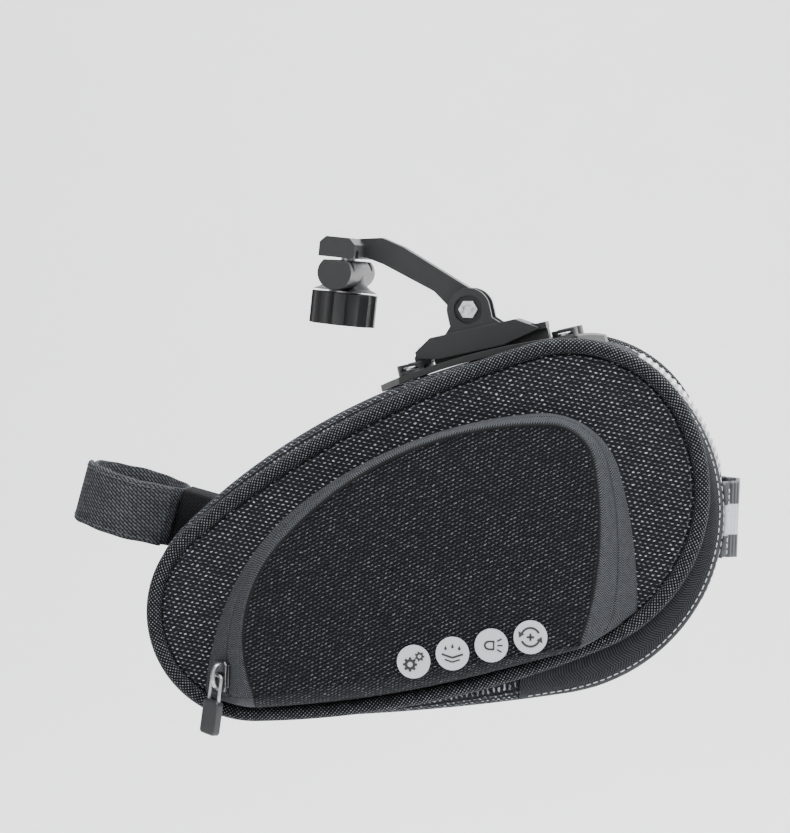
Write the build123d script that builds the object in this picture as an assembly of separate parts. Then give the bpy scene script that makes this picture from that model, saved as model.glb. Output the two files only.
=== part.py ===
from build123d import *
from math import atan2, cos, degrees, hypot, radians, sin, sqrt, tan
import os

os.makedirs("parts", exist_ok=True)

# Saddle bag with a quick-release rail clamp. Millimetres.
# +X points to the rear of the bicycle, +Y to its right side, +Z up.
# The origin lies midway between the saddle rails, at the middle of the rail clamp.

# ---- driving dimensions -------------------------------------------------------------

# Outline of the side panels along the middle of the piping, as arcs that run into each other
REAR_CENTRE, REAR_R = (65.8, -74.6), 52.6
CORNER_R, CORNER_TURN = 40.8, 30.4          # upper rear corner, and where the rear arc ends
NOSE_CENTRE, NOSE_R = (-27.3, -115.8), 32.9
TOP_R, BOTTOM_R = 312.0, 307.0

# Outline of the bag midway between the side panels, where the fabric bulges
CROWN_REAR_CENTRE, CROWN_REAR_R = (65.1, -82.9), 60.1
CROWN_CORNER_R, CROWN_CORNER_TURN = 28.0, 60.0
CROWN_NOSE_CENTRE, CROWN_NOSE_R = (-26.5, -114.5), 37.0
CROWN_TOP_R, CROWN_BOTTOM_R = 215.0, 700.0

PIPING_Y, PIPING_R = 31.0, 2.5
SIDE_THICKNESS = 3.5
FABRIC_THICKNESS = 3.0
CROWN_HALF_WIDTH = 21.8                     # half width of the level middle of the gusset
FIT_GAP = 0.1                               # between sewn pieces of one body
MOVE_GAP = 0.3                              # between pieces that move apart

# Rear flap with the main zipper
FLAP_BOTTOM_ANGLE, FLAP_TOP_ANGLE = -95.5, 67.0
ZIP_Y = 20.0
ZIP_TAPE_WIDTH = 4.0
ZIP_COIL_WIDTH, ZIP_COIL_HEIGHT = 1.6, 1.3
MAIN_SLIDER_ANGLE = -75.0
SLIDER_PIN = 2.5                            # height of the pull's bar over the slider's base
MAIN_PULL = (7.0, 5.0)                      # length and width of the ring
MAIN_GRIP = (5.5, 11.0, 7.0, 2.4)           # start beyond the bar, length, width, thickness
MAIN_PULL_PITCH = 12.0                      # the main pull lies under the bag, pointing forward
GROOVE_HALF, GROOVE_DEPTH, GROOVE_MARGIN = 0.4, 0.3, 0.8
POCKET_PULL = (9.5, 6.0)
POCKET_GRIP = (7.6, 11.4, 7.6, 3.0)
POCKET_PULL_LEAN = 8.0                      # its lower end leans forward
STRIP_HALF_WIDTH, STRIP_THICKNESS = 12.0, 0.9
STRIP_ANGLES = (13.0, 58.0)
LOOP_ANGLE, LOOP_HEIGHT, LOOP_STAND = -2.0, 25.0, 5.0
LOOP_HALF_WIDTH, LOOP_WEBBING = 15.0, 1.4

# Side pocket: outline at its base and outline of its front panel
POCKET_BASE = ((67.7, -75.1), 25.8, 16.1, 141.0, (39.5, -144.3), 82.5, 148.4)
POCKET_FRONT = ((69.7, -67.4), 15.0, 10.7, 112.8, (16.6, -121.8), 45.4, 111.5)
POCKET_SEAM_POINT, POCKET_SEAM_TURN = (-24.5, -141.5), 10.0
POCKET_TOP_Z, POCKET_TOP_DEPTH = -57.0, 7.0
POCKET_DEEPENING = 0.072                    # growth in depth for each millimetre down
POCKET_WALL = 2.0
POCKET_WALL_LEAN = 0.9                      # how far the front stretch faces forward, for 1 outward
POCKET_SLIDER_ANGLE = 182.0                 # round the front stretch, from the rear
POCKET_SEWN_ANGLE = 13.0                    # the zipper's closed end starts this far before the slider
BADGE_FIRST, BADGE_PITCH, BADGE_COUNT = (27.2, -129.0), 12.75, 4
BADGE_R, BADGE_THICKNESS, BADGE_TURN = 5.35, 0.5, 12.7

# Saddle rails and their clamp
RAIL_SPACING, RAIL_R, RAIL_PITCH = 44.0, 3.5, -6.0
RAIL_GRIP_GAP = 0.1                         # between groove and rail, on the radius
CLAMP_HALF_LENGTH, CLAMP_HALF_WIDTH = 30.0, 5.75
CLAMP_TOP, JAW_SPLIT, JAW_R = 7.1, 0.5, 5.5
SCREW_R, SCREW_HEAD_R, SCREW_HEAD_HEIGHT = 2.5, 4.25, 4.0
KNOB_R, KNOB_HEIGHT, KNOB_LOBES, KNOB_TOP = 11.0, 10.7, 8, -11.3
NUT_R, NUT_HEIGHT = 4.6, 4.0

# Arm and tilt pivot
PIVOT = (41.1, -16.6)
ARM_HALF_WIDTH, TONGUE_R, EAR_R, EAR_THICKNESS = 5.0, 6.0, 7.1, 3.3
PIVOT_SCREW_R, PIVOT_WASHER = 1.5, 0.65
RUNNING_GAP = 0.05                          # shafts in their holes, on the radius

# Quick release: socket, rail and plate, in a frame pitched up to the rear
DECK_ORIGIN, DECK_PITCH = (49.15, -34.5), 12.7
PLATE_THICKNESS, PLATE_HALF_LENGTH, PLATE_HALF_WIDTH = 2.2, 38.0, 21.0
RIVET_U, RIVET_Y, RIVET_R = 26.0, 16.0, 1.6
RIM_R, RIM_HOLE_R, RIM_TOP, RIM_DEPTH = 4.3, 3.1, 6.0, 2.0
WINDOW_HALF, WINDOW_HEIGHT = 3.0, 1.3       # opening in the outer side of each rim
RIVET_REACH = 14.0                          # how far the rivet holes go above and below the deck
DOVETAIL_FRONT, DOVETAIL_REAR = -19.0, 20.0
DOVETAIL_NECK, DOVETAIL_HALF_WIDTH = 5.0, 8.0
DOVETAIL_LEDGE, DOVETAIL_TOP = 7.6, 9.8
SOCKET_HALF_WIDTH, SOCKET_BOTTOM, SOCKET_TOP = 11.0, 5.3, 12.8
SOCKET_FRONT, SOCKET_REAR = -24.0, 17.5
BUTTON_HALF_WIDTH, BUTTON_TRAVEL = 6.0, 1.2
BUTTON_STAND, BUTTON_TOP = 0.9, 2.8         # below and above the socket's underside
BUTTON_NOSE, BUTTON_SETBACK = 1.2, 1.0      # past the socket's front, and short of the dovetail
SPRING_LEAF, SPRING_WIDTH, SPRING_RISE = 0.35, 3.0, 1.2
SPRING_GAP = 0.03                           # between the spring and what it presses on
BACKING_THICKNESS = 2.0

# Seatpost strap
STRAP_CENTRE, STRAP_TILT = (-73.2, -82.4), 15.5
POST_R, STRAP_WIDTH, STRAP_THICKNESS = 15.5, 20.0, 1.5
STRAP_END_ANGLES = (180.0, 318.0)           # the overlapping end, seen from above

FAR = 400.0                                 # larger than the whole bag


# ---- frames and outlines -------------------------------------------------------------

def pitched_frame(x, z, pitch, y=0.0):
    """A frame turned up to the rear by pitch degrees."""
    turn = radians(pitch)
    return Plane(origin=(x, y, z), x_dir=(cos(turn), 0, sin(turn)), z_dir=(-sin(turn), 0, cos(turn)))


WORLD = pitched_frame(0, 0, 0)
RAILS = pitched_frame(0, 0, RAIL_PITCH)
DECK = pitched_frame(*DECK_ORIGIN, DECK_PITCH)
STRAP = pitched_frame(*STRAP_CENTRE, -STRAP_TILT)


def side_view(frame, y):
    """The frame's X-Z plane at a distance y, seen from the left side."""
    return Plane(origin=frame.from_local_coords((0, y, 0)), x_dir=frame.x_dir, z_dir=-frame.y_dir)


def thicken(face, depth):
    return extrude(face, amount=depth, dir=(0, -1, 0))


def side_prism(frame, points, y_low, y_high):
    """A polygon in the frame's X-Z plane, from y_low to y_high."""
    face = side_view(frame, y_high) * make_face(Polyline(*points, close=True))
    return thicken(face, y_high - y_low)


def rod(frame, x, z, radius, y_low, y_high):
    """A cylinder across the bag, along Y."""
    face = side_view(frame, y_high) * Pos(x, z) * Circle(radius)
    return thicken(face, y_high - y_low)


def block(frame, x, y, z):
    """A box from three (low, high) pairs in a frame."""
    size = [high - low for low, high in (x, y, z)]
    middle = [(low + high) / 2 for low, high in (x, y, z)]
    return frame.location * Pos(*middle) * Box(*size)


def upright(frame, x, y, radius, z_low, z_high):
    """A cylinder along a frame's Z axis."""
    return frame.location * Pos(x, y, (z_low + z_high) / 2) * Cylinder(radius, z_high - z_low)


def polar(centre, radius, angle):
    return (centre[0] + radius * cos(radians(angle)), centre[1] + radius * sin(radians(angle)))


def bearing(start, end):
    """Angle from one centre to another, in degrees from 0 to 360."""
    return degrees(atan2(end[1] - start[1], end[0] - start[0])) % 360


def enclosing_centre(first, first_r, second, second_r, radius, side):
    """Centre of the arc of a radius that touches two circles inside it."""
    a, b = radius - first_r, radius - second_r
    gap = hypot(second[0] - first[0], second[1] - first[1])
    along = (a * a - b * b + gap * gap) / (2 * gap)
    across = side * sqrt(a * a - along * along)
    ux, uz = (second[0] - first[0]) / gap, (second[1] - first[1]) / gap
    return (first[0] + ux * along - uz * across, first[1] + uz * along + ux * across)


def bag_outline(rear, rear_r, corner_r, corner_turn, nose, nose_r, top_r, bottom_r):
    """Arcs (centre, radius, start, end) round the bag, from the bottom of its rear."""
    corner = polar(rear, rear_r - corner_r, corner_turn)
    top = enclosing_centre(corner, corner_r, nose, nose_r, top_r, 1)
    bottom = enclosing_centre(rear, rear_r, nose, nose_r, bottom_r, -1)
    top_start, top_end = bearing(top, corner), bearing(top, nose)
    bottom_start, bottom_end = bearing(bottom, nose), bearing(bottom, rear)
    return [(rear, rear_r, bottom_end - 360, corner_turn), (corner, corner_r, corner_turn, top_start),
            (top, top_r, top_start, top_end), (nose, nose_r, top_end, bottom_start),
            (bottom, bottom_r, bottom_start, bottom_end)]


EDGE = bag_outline(REAR_CENTRE, REAR_R, CORNER_R, CORNER_TURN, NOSE_CENTRE, NOSE_R, TOP_R, BOTTOM_R)
CROWN = bag_outline(CROWN_REAR_CENTRE, CROWN_REAR_R, CROWN_CORNER_R, CROWN_CORNER_TURN,
                    CROWN_NOSE_CENTRE, CROWN_NOSE_R, CROWN_TOP_R, CROWN_BOTTOM_R)


def arc_edge(arc, offset):
    centre, radius, start, end = arc
    points = [polar(centre, radius + offset, angle) for angle in (start, (start + end) / 2, end)]
    return ThreePointArc(*points)


def outline_face(arcs, offset):
    """The closed region inside a chain of arcs, in the X-Z plane's own coordinates."""
    return make_face([arc_edge(arc, offset) for arc in arcs])


def slab(arcs, offset, y_low, y_high):
    """A straight-sided piece with a bag outline."""
    return thicken(side_view(WORLD, y_high) * outline_face(arcs, offset), y_high - y_low)


def shoulder(offset, side):
    """The sloping part between the level middle and one side panel."""
    inner = side_view(WORLD, side * CROWN_HALF_WIDTH) * outline_face(CROWN, offset)
    outer = side_view(WORLD, side * (PIPING_Y - PIPING_R - FIT_GAP)) * outline_face(EDGE, offset)
    return loft([inner, outer], ruled=True)


def bag_body(offset):
    """The whole bag as a closed solid, between the side panels."""
    middle = slab(CROWN, offset, -CROWN_HALF_WIDTH, CROWN_HALF_WIDTH)
    return middle + shoulder(offset, -1) + shoulder(offset, 1)


def flap_sector(clearance):
    """The region behind the rear flap's two ends, widened by a clearance."""
    margin = degrees(clearance / CROWN_REAR_R)
    low, high = FLAP_BOTTOM_ANGLE - margin, FLAP_TOP_ANGLE + margin
    steps = 6
    rim = [polar(CROWN_REAR_CENTRE, FAR, low + (high - low) * i / steps) for i in range(steps + 1)]
    return side_prism(WORLD, [CROWN_REAR_CENTRE, *rim], -FAR, FAR)


def across(y_low, y_high):
    """Everything between two distances from the bag's middle plane."""
    return block(WORLD, (-FAR, FAR), (y_low, y_high), (-FAR, FAR))


def both_sides(y_low, y_high):
    return [across(y_low, y_high), across(-y_high, -y_low)]


def crown_arc_band(inner, outer, angles, half_width):
    """A strip that follows the flap's outer arc between two angles."""
    centre = CROWN_REAR_CENTRE
    edges = [arc_edge((centre, inner, *angles), 0), arc_edge((centre, outer, *angles), 0)]
    edges += [Line(polar(centre, inner, angle), polar(centre, outer, angle)) for angle in angles]
    return thicken(side_view(WORLD, half_width) * make_face(edges), 2 * half_width)


def save(name, shape):
    solids = list(shape) if isinstance(shape, (list, tuple)) else [shape]
    pieces = [solid for item in solids for solid in item.solids()]
    export_step(pieces[0] if len(pieces) == 1 else Compound(children=pieces), f"parts/{name}.step")


# ---- rail clamp and arm ---------------------------------------------------------------

def rail_grooves():
    side = RAIL_SPACING / 2
    reach = CLAMP_HALF_WIDTH + 5
    groove = Rot(0, 90, 0) * Cylinder(RAIL_R + RAIL_GRIP_GAP, 2 * reach)
    return [RAILS.location * Pos(0, y, 0) * groove for y in (-side, side)]


def arm_profile():
    x, z = PIVOT
    shoulder_top = (19.1, 4.0)
    top_normal = radians(60.7)
    tangent = (x + TONGUE_R * cos(top_normal), z + TONGUE_R * sin(top_normal))
    return [(-2, JAW_SPLIT + 0.5), (-2, CLAMP_TOP - 0.6), (12, CLAMP_TOP), shoulder_top, tangent, (x, z),
            (x - TONGUE_R, z), (29.4, -10.7), (12.4, -1.7), (CLAMP_HALF_WIDTH + 1, JAW_SPLIT)]


def bracket_arm():
    w, length = CLAMP_HALF_WIDTH, CLAMP_HALF_LENGTH
    chamfer_size = 2.0
    bar = side_prism(RAILS, [(-w, JAW_SPLIT), (w, JAW_SPLIT), (w, CLAMP_TOP - chamfer_size),
                             (w - chamfer_size, CLAMP_TOP), (chamfer_size - w, CLAMP_TOP),
                             (-w, CLAMP_TOP - chamfer_size)], -length, length)
    arm = side_prism(WORLD, arm_profile(), -ARM_HALF_WIDTH, ARM_HALF_WIDTH)
    body = bar + arm + rod(WORLD, *PIVOT, TONGUE_R, -ARM_HALF_WIDTH, ARM_HALF_WIDTH)
    body -= rail_grooves()
    body -= rod(WORLD, *PIVOT, PIVOT_SCREW_R + FIT_GAP, -FAR, FAR)
    body -= upright(RAILS, 0, 0, SCREW_R + FIT_GAP, -FAR, FAR)
    recess_floor = CLAMP_TOP - SCREW_HEAD_HEIGHT
    return body - upright(RAILS, 0, 0, SCREW_HEAD_R + FIT_GAP, recess_floor, FAR)


def clamp_screw():
    floor = CLAMP_TOP - SCREW_HEAD_HEIGHT
    shank = upright(RAILS, 0, 0, SCREW_R, KNOB_TOP - KNOB_HEIGHT + 1.5, floor + 0.5)
    head = upright(RAILS, 0, 0, SCREW_HEAD_R, floor, CLAMP_TOP)
    key = RAILS.location * Pos(0, 0, CLAMP_TOP - 2.5) * extrude(RegularPolygon(2.3, 6), 3)
    return shank + head - key


def lower_jaw():
    middle_z = JAW_SPLIT - JAW_R + 0.5
    bar = rod(RAILS, 0, middle_z, JAW_R, -CLAMP_HALF_LENGTH, CLAMP_HALF_LENGTH)
    bar &= block(RAILS, (-FAR, FAR), (-FAR, FAR), (-FAR, -JAW_SPLIT))
    top, bottom = middle_z, KNOB_TOP + 0.7
    bell_points = [(0, top), (JAW_R, top), (JAW_R + 0.6, bottom + 3.2), (KNOB_R - 2.5, bottom + 1.0),
                   (KNOB_R - 0.2, bottom), (0, bottom)]
    bell_face = side_view(RAILS, 0) * make_face(Polyline(*bell_points, close=True))
    bell = revolve(bell_face, Axis(RAILS.origin, RAILS.z_dir), 360)
    body = bar + bell
    body -= rail_grooves()
    return body - upright(RAILS, 0, 0, SCREW_R + 2 * FIT_GAP, -FAR, FAR)


def knob_washer():
    ring = upright(RAILS, 0, 0, SCREW_HEAD_R + 1.2, KNOB_TOP + 0.05, KNOB_TOP + 0.65)
    return ring - upright(RAILS, 0, 0, SCREW_R + 2 * FIT_GAP, -FAR, FAR)


def nut_space(gap):
    prism = extrude(RegularPolygon(NUT_R + gap, 6), NUT_HEIGHT + gap)
    return RAILS.location * Pos(0, 0, KNOB_TOP - NUT_HEIGHT - 0.6 - gap) * prism


def clamp_knob():
    """A lobed knob, closed at its lower end, round its nut."""
    body = upright(RAILS, 0, 0, KNOB_R, KNOB_TOP - KNOB_HEIGHT, KNOB_TOP)
    groove_r, depth = 4.0, 1.0
    for i in range(KNOB_LOBES):
        x, y = polar((0, 0), KNOB_R + groove_r - depth, (i + 0.5) * 360 / KNOB_LOBES)
        body -= upright(RAILS, x, y, groove_r, -FAR, FAR)
    body -= upright(RAILS, 0, 0, SCREW_R + 2 * FIT_GAP, KNOB_TOP - KNOB_HEIGHT + 1.2, FAR)
    return body - nut_space(FIT_GAP / 2)


def knob_nut():
    return nut_space(0) - upright(RAILS, 0, 0, SCREW_R + RUNNING_GAP, -FAR, FAR)


def knuckle_width():
    """Distance from the middle plane to the inner faces of the socket's ears."""
    return ARM_HALF_WIDTH + PIVOT_WASHER + 2 * RUNNING_GAP


def pivot_bolt():
    outer = knuckle_width() + EAR_THICKNESS
    head_y = outer - 1.2
    shank = rod(WORLD, *PIVOT, PIVOT_SCREW_R, -outer - 0.6, head_y + 0.5)
    head = rod(WORLD, *PIVOT, PIVOT_SCREW_R + 1.25, head_y, head_y + 3.0)
    key = side_view(WORLD, head_y + 3.0) * Pos(*PIVOT) * RegularPolygon(1.44, 6)
    return shank + head - thicken(key, 1.5)


def pivot_nut():
    outer = knuckle_width() + EAR_THICKNESS
    height = 2.4
    face = side_view(WORLD, height - outer - 0.9) * Pos(*PIVOT) * RegularPolygon(3.18, 6)
    return thicken(face, height) - rod(WORLD, *PIVOT, PIVOT_SCREW_R + RUNNING_GAP, -FAR, FAR)


def pivot_washers():
    hole = rod(WORLD, *PIVOT, PIVOT_SCREW_R + FIT_GAP, -FAR, FAR)
    low = ARM_HALF_WIDTH + RUNNING_GAP
    spans = ((low, low + PIVOT_WASHER), (-low - PIVOT_WASHER, -low))
    return [rod(WORLD, *PIVOT, TONGUE_R - 0.6, *span) - hole for span in spans]


# ---- quick-release socket -------------------------------------------------------------

def socket_ears():
    """Two ears round the arm's tongue, with concave feet on the socket."""
    local = DECK.to_local_coords(Vector(PIVOT[0], 0, PIVOT[1]))
    u, w = local.X, local.Z
    foot = 2.2
    top = SOCKET_TOP - 0.5
    points = [(u - EAR_R, w), (u + EAR_R, w), (u + EAR_R, SOCKET_TOP + foot),
              (u + EAR_R + foot, SOCKET_TOP), (u + EAR_R + foot, top), (u - EAR_R - foot, top),
              (u - EAR_R - foot, SOCKET_TOP), (u - EAR_R, SOCKET_TOP + foot)]
    inner, outer = knuckle_width(), knuckle_width() + EAR_THICKNESS
    ears = [side_prism(DECK, points, low, high) + rod(WORLD, *PIVOT, EAR_R, low, high)
            for low, high in ((inner, outer), (-outer, -inner))]
    recess_r, recess_depth = PIVOT_SCREW_R + 3.2, 1.5
    recesses = [rod(WORLD, *PIVOT, recess_r, outer - recess_depth, FAR),
                rod(WORLD, *PIVOT, recess_r, -FAR, recess_depth - outer)]
    return ears, recesses


def channel(gap):
    """The dovetail's section, widened by a gap, open to the rear."""
    front = DOVETAIL_FRONT - gap
    neck = block(DECK, (front, FAR), (-DOVETAIL_NECK - gap, DOVETAIL_NECK + gap), (0, DOVETAIL_TOP))
    half = DOVETAIL_HALF_WIDTH + gap
    return neck + block(DECK, (front, FAR), (-half, half), (DOVETAIL_LEDGE - gap, DOVETAIL_TOP + gap))


def quick_release_socket():
    """The profile has chamfered ends, and its rear underside slopes up."""
    profile = [(SOCKET_FRONT, SOCKET_BOTTOM + 1.7), (SOCKET_FRONT, SOCKET_BOTTOM + 3.9),
               (SOCKET_FRONT + 5.8, SOCKET_TOP), (SOCKET_REAR - 7, SOCKET_TOP),
               (SOCKET_REAR, SOCKET_BOTTOM + 3.2), (SOCKET_REAR, SOCKET_BOTTOM + 2.6),
               (SOCKET_REAR - 12.5, SOCKET_BOTTOM), (SOCKET_FRONT + 7, SOCKET_BOTTOM)]
    body = side_prism(DECK, profile, -SOCKET_HALF_WIDTH, SOCKET_HALF_WIDTH)
    ears, recesses = socket_ears()
    body += ears
    body -= recesses
    body -= rod(WORLD, *PIVOT, PIVOT_SCREW_R + RUNNING_GAP, -FAR, FAR)
    body -= rod(WORLD, *PIVOT, TONGUE_R + 2 * MOVE_GAP, -knuckle_width(), knuckle_width())
    body -= channel(MOVE_GAP)
    return body - button_space(MOVE_GAP, BUTTON_TRAVEL + SPRING_RISE)


def button_space(gap, headroom):
    top = SOCKET_BOTTOM + BUTTON_TOP
    half = BUTTON_HALF_WIDTH + gap
    return block(DECK, (SOCKET_FRONT - BUTTON_NOSE - gap, DOVETAIL_FRONT - BUTTON_SETBACK + gap),
                 (-half, half), (SOCKET_BOTTOM - BUTTON_STAND, top + headroom))


def latch_button():
    body = button_space(0, 0)
    edges = body.edges().filter_by(Axis.Y)
    return fillet(edges, 1.0)


def latch_spring():
    """A leaf spring bowed between the button and the socket."""
    seat = SOCKET_BOTTOM + BUTTON_TOP
    low, high = seat + SPRING_GAP, seat + BUTTON_TRAVEL + SPRING_RISE - SPRING_GAP
    leaf, half = SPRING_LEAF, BUTTON_HALF_WIDTH - 1
    middle = (SOCKET_FRONT + DOVETAIL_FRONT) / 2 - 1
    outer = [(-half, low), (0, high - leaf), (half, low), (half, low + leaf), (0, high), (-half, low + leaf)]
    face = make_face(Polyline(*outer, close=True))
    start = DECK.from_local_coords((middle - SPRING_WIDTH / 2, 0, 0))
    section = Plane(origin=start, x_dir=(0, 1, 0), z_dir=DECK.x_dir)
    return extrude(section * face, amount=SPRING_WIDTH, dir=DECK.x_dir)


# ---- plate on the bag -----------------------------------------------------------------

def plate_footprint(margin):
    """A long plate with pointed ends, as a prism across the deck."""
    length, width = PLATE_HALF_LENGTH - margin, PLATE_HALF_WIDTH - margin
    taper, tip = 8.0, 8.0
    points = [(length, -tip), (length, tip), (length - taper, width), (taper - length, width),
              (-length, tip), (-length, -tip), (taper - length, -width), (length - taper, -width)]
    face = DECK * make_face(Polyline(*points, close=True))
    return extrude(face, amount=FAR / 8, both=True)


def rivet_places():
    return [(u, y) for u in (-RIVET_U, RIVET_U) for y in (-RIVET_Y, RIVET_Y)]


def rim_window(u, y):
    """An opening through a rim's outer side that shows the rivet's head."""
    low, high = RIM_TOP - RIM_DEPTH, RIM_TOP - RIM_DEPTH + WINDOW_HEIGHT
    points = [(u - WINDOW_HALF, low), (u + WINDOW_HALF, low),
              (u + WINDOW_HALF - WINDOW_HEIGHT, high), (u - WINDOW_HALF + WINDOW_HEIGHT, high)]
    return side_prism(DECK, points, *((y, FAR) if y > 0 else (-FAR, y)))


def base_plate():
    low, high = 2 * FIT_GAP, 2 * FIT_GAP + PLATE_THICKNESS
    shell = slab(CROWN, high, -PLATE_HALF_WIDTH, PLATE_HALF_WIDTH)
    inside = slab(CROWN, low, -FAR, FAR)
    skin = (shell & plate_footprint(0)) - inside
    for u, y in rivet_places():
        skin += upright(DECK, u, y, RIM_R, -5, RIM_TOP) - inside
    skin += channel(0) & block(DECK, (DOVETAIL_FRONT, DOVETAIL_REAR), (-FAR, FAR), (0, FAR)) - inside
    for u, y in rivet_places():
        skin -= upright(DECK, u, y, RIM_HOLE_R, RIM_TOP - RIM_DEPTH, FAR)
        skin -= upright(DECK, u, y, RIVET_R + FIT_GAP, -FAR, FAR)
        skin -= rim_window(u, y)
    return skin


def backing_plate():
    outside = slab(CROWN, -FABRIC_THICKNESS - FIT_GAP, 1 - CROWN_HALF_WIDTH, CROWN_HALF_WIDTH - 1)
    inside = slab(CROWN, -FABRIC_THICKNESS - FIT_GAP - BACKING_THICKNESS, -FAR, FAR)
    plate = (outside & plate_footprint(3)) - inside
    for u, y in rivet_places():
        plate -= upright(DECK, u, y, RIVET_R + FIT_GAP, -FAR, FAR)
    return max(plate.solids(), key=lambda solid: solid.center().Z)


def rivets():
    """Tubular rivets: a domed head in each rim and a tail under the backing plate."""
    head_z = RIM_TOP - RIM_DEPTH
    tail = FABRIC_THICKNESS + BACKING_THICKNESS + PLATE_THICKNESS + 7
    shapes = []
    for u, y in rivet_places():
        shank = upright(DECK, u, y, RIVET_R, head_z - tail, head_z + 0.3)
        head = upright(DECK, u, y, RIM_HOLE_R - 0.4, head_z + 0.02, head_z + 1.0)
        rounding = head.edges().group_by(Axis(DECK.origin, DECK.z_dir))[-1]
        shapes.append(shank + fillet(rounding, 0.6))
    return shapes


# ---- bag ------------------------------------------------------------------------------

def side_shell(side):
    inner = PIPING_Y - PIPING_R
    low, high = sorted((side * inner, side * (inner + SIDE_THICKNESS)))
    return slab(EDGE, -PIPING_R - FIT_GAP, low, high)


def piping(side):
    """A cord covered in woven fabric, sewn round the edge of a side panel."""
    path = side_view(WORLD, side * PIPING_Y) * Wire([arc_edge(arc, 0).edge() for arc in EDGE])
    start = path @ 0
    section = Plane(origin=start, z_dir=path % 0) * Circle(PIPING_R)
    return sweep(section, path=path)


def build_fabric():
    """Cuts the fabric between the side panels into gusset, tapes and rear flap."""
    fabric = bag_body(0) - bag_body(-FABRIC_THICKNESS)
    rear = fabric & flap_sector(0)
    gusset = fabric - flap_sector(MOVE_GAP)
    for u, y in rivet_places():
        gusset -= upright(DECK, u, y, RIVET_R + FIT_GAP, -RIVET_REACH, RIVET_REACH)
    slit = MOVE_GAP / 2
    flap_edge = ZIP_Y - ZIP_TAPE_WIDTH
    flap = rear & across(-flap_edge + FIT_GAP / 2, flap_edge - FIT_GAP / 2)
    tape_flap = [rear & part for part in both_sides(flap_edge + FIT_GAP / 2, ZIP_Y - slit)]
    tape_shell = [rear & part for part in both_sides(ZIP_Y + slit, PIPING_Y)]
    return gusset, flap, tape_flap, tape_shell


def zipper_coils(inner_y, outer_y):
    """Coil halves under the tape, along both sides of the slit."""
    top = CROWN_REAR_R - FABRIC_THICKNESS - FIT_GAP
    angles = (FLAP_BOTTOM_ANGLE + 6, CROWN_CORNER_TURN - 2)
    band = crown_arc_band(top - ZIP_COIL_HEIGHT, top, angles, PIPING_Y)
    return [band & part for part in both_sides(inner_y, outer_y)]


def reflective_strip():
    low = CROWN_REAR_R + FIT_GAP / 2
    return crown_arc_band(low, low + STRIP_THICKNESS, STRIP_ANGLES, STRIP_HALF_WIDTH)


def light_loop():
    """A band of webbing sewn down at both ends, which stands away from the flap."""
    face_r = CROWN_REAR_R + FIT_GAP
    x, z = polar(CROWN_REAR_CENTRE, face_r, LOOP_ANGLE)
    turn = radians(LOOP_ANGLE)
    frame = Plane(origin=(x, 0, z), x_dir=(cos(turn), 0, sin(turn)), z_dir=(-sin(turn), 0, cos(turn)))
    end, foot, crest = LOOP_HALF_WIDTH, LOOP_HALF_WIDTH - 5, LOOP_HALF_WIDTH - 7
    t, stand = LOOP_WEBBING, LOOP_STAND
    outer = [(0, -end), (t, -end), (t, -foot), (stand, -crest)]
    outer += [(r, -y) for r, y in reversed(outer)]
    inner = [(0, foot - t / 2), (stand - t, crest - t / 2), (stand - t, t / 2 - crest), (0, t / 2 - foot)]
    face = frame * make_face(Polyline(*outer, *inner, close=True))
    return extrude(face, amount=LOOP_HEIGHT / 2, both=True)


def inner_mesh_pocket():
    """A flat net pocket against the right side panel."""
    high = PIPING_Y - PIPING_R - FIT_GAP
    net = slab(EDGE, -12, high - 1.0, high)
    return net & block(WORLD, (-FAR, FAR), (-FAR, FAR), (-FAR, -85))


# ---- side pocket ----------------------------------------------------------------------

def pocket_depth(z):
    return POCKET_TOP_DEPTH + (POCKET_TOP_Z - z) * POCKET_DEEPENING


def pocket_plane(share):
    """The plane of the pocket's front (share 1), base (0) or zipper (0.5)."""
    slope = atan2(share * POCKET_DEEPENING, 1)
    side_y = PIPING_Y - PIPING_R + SIDE_THICKNESS + FIT_GAP
    return Plane(origin=(0, -side_y - share * pocket_depth(0), 0), x_dir=(1, 0, 0),
                 z_dir=(0, -cos(slope), sin(slope)))


def seam_z(x):
    """Height of the straight seam along the pocket's bottom."""
    return POCKET_SEAM_POINT[1] + (x - POCKET_SEAM_POINT[0]) * tan(radians(POCKET_SEAM_TURN))


def seam_crossing(centre, radius, side, lift):
    """Angle at which an arc of the pocket meets the seam, raised by a lift."""
    turn = radians(POCKET_SEAM_TURN)
    gap_z = seam_z(centre[0]) - centre[1]
    distance = gap_z * cos(turn) + lift
    if side > 0:
        return POCKET_SEAM_TURN + degrees(atan2(distance, sqrt(radius ** 2 - distance ** 2)))
    return POCKET_SEAM_TURN + 180 - degrees(atan2(distance, sqrt(radius ** 2 - distance ** 2)))


def pocket_face(outline, inset):
    corner, corner_r, rear_turn, rear_r, front, front_r, top_r = outline
    rear = polar(corner, -(rear_r - corner_r), rear_turn)
    top = enclosing_centre(corner, corner_r, front, front_r, top_r, 1)
    top_start, top_end = bearing(top, corner), bearing(top, front)
    low = seam_crossing(rear, rear_r - inset, 1, inset)
    high = seam_crossing(front, front_r - inset, -1, inset)
    arcs = [(rear, rear_r, low, rear_turn), (corner, corner_r, rear_turn, top_start),
            (top, top_r, top_start, top_end), (front, front_r, top_end, high)]
    edges = [arc_edge(arc, -inset) for arc in arcs]
    edges.append(Line(polar(front, front_r - inset, high), polar(rear, rear_r - inset, low)))
    return make_face(edges)


def pocket_solid(inset):
    base = pocket_plane(0) * pocket_face(POCKET_BASE, inset)
    front = pocket_plane(1).offset(-inset) * pocket_face(POCKET_FRONT, inset)
    body = loft([base, front], ruled=True)
    return body & slab(EDGE, -PIPING_R - FIT_GAP - inset, -FAR, FAR)


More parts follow.
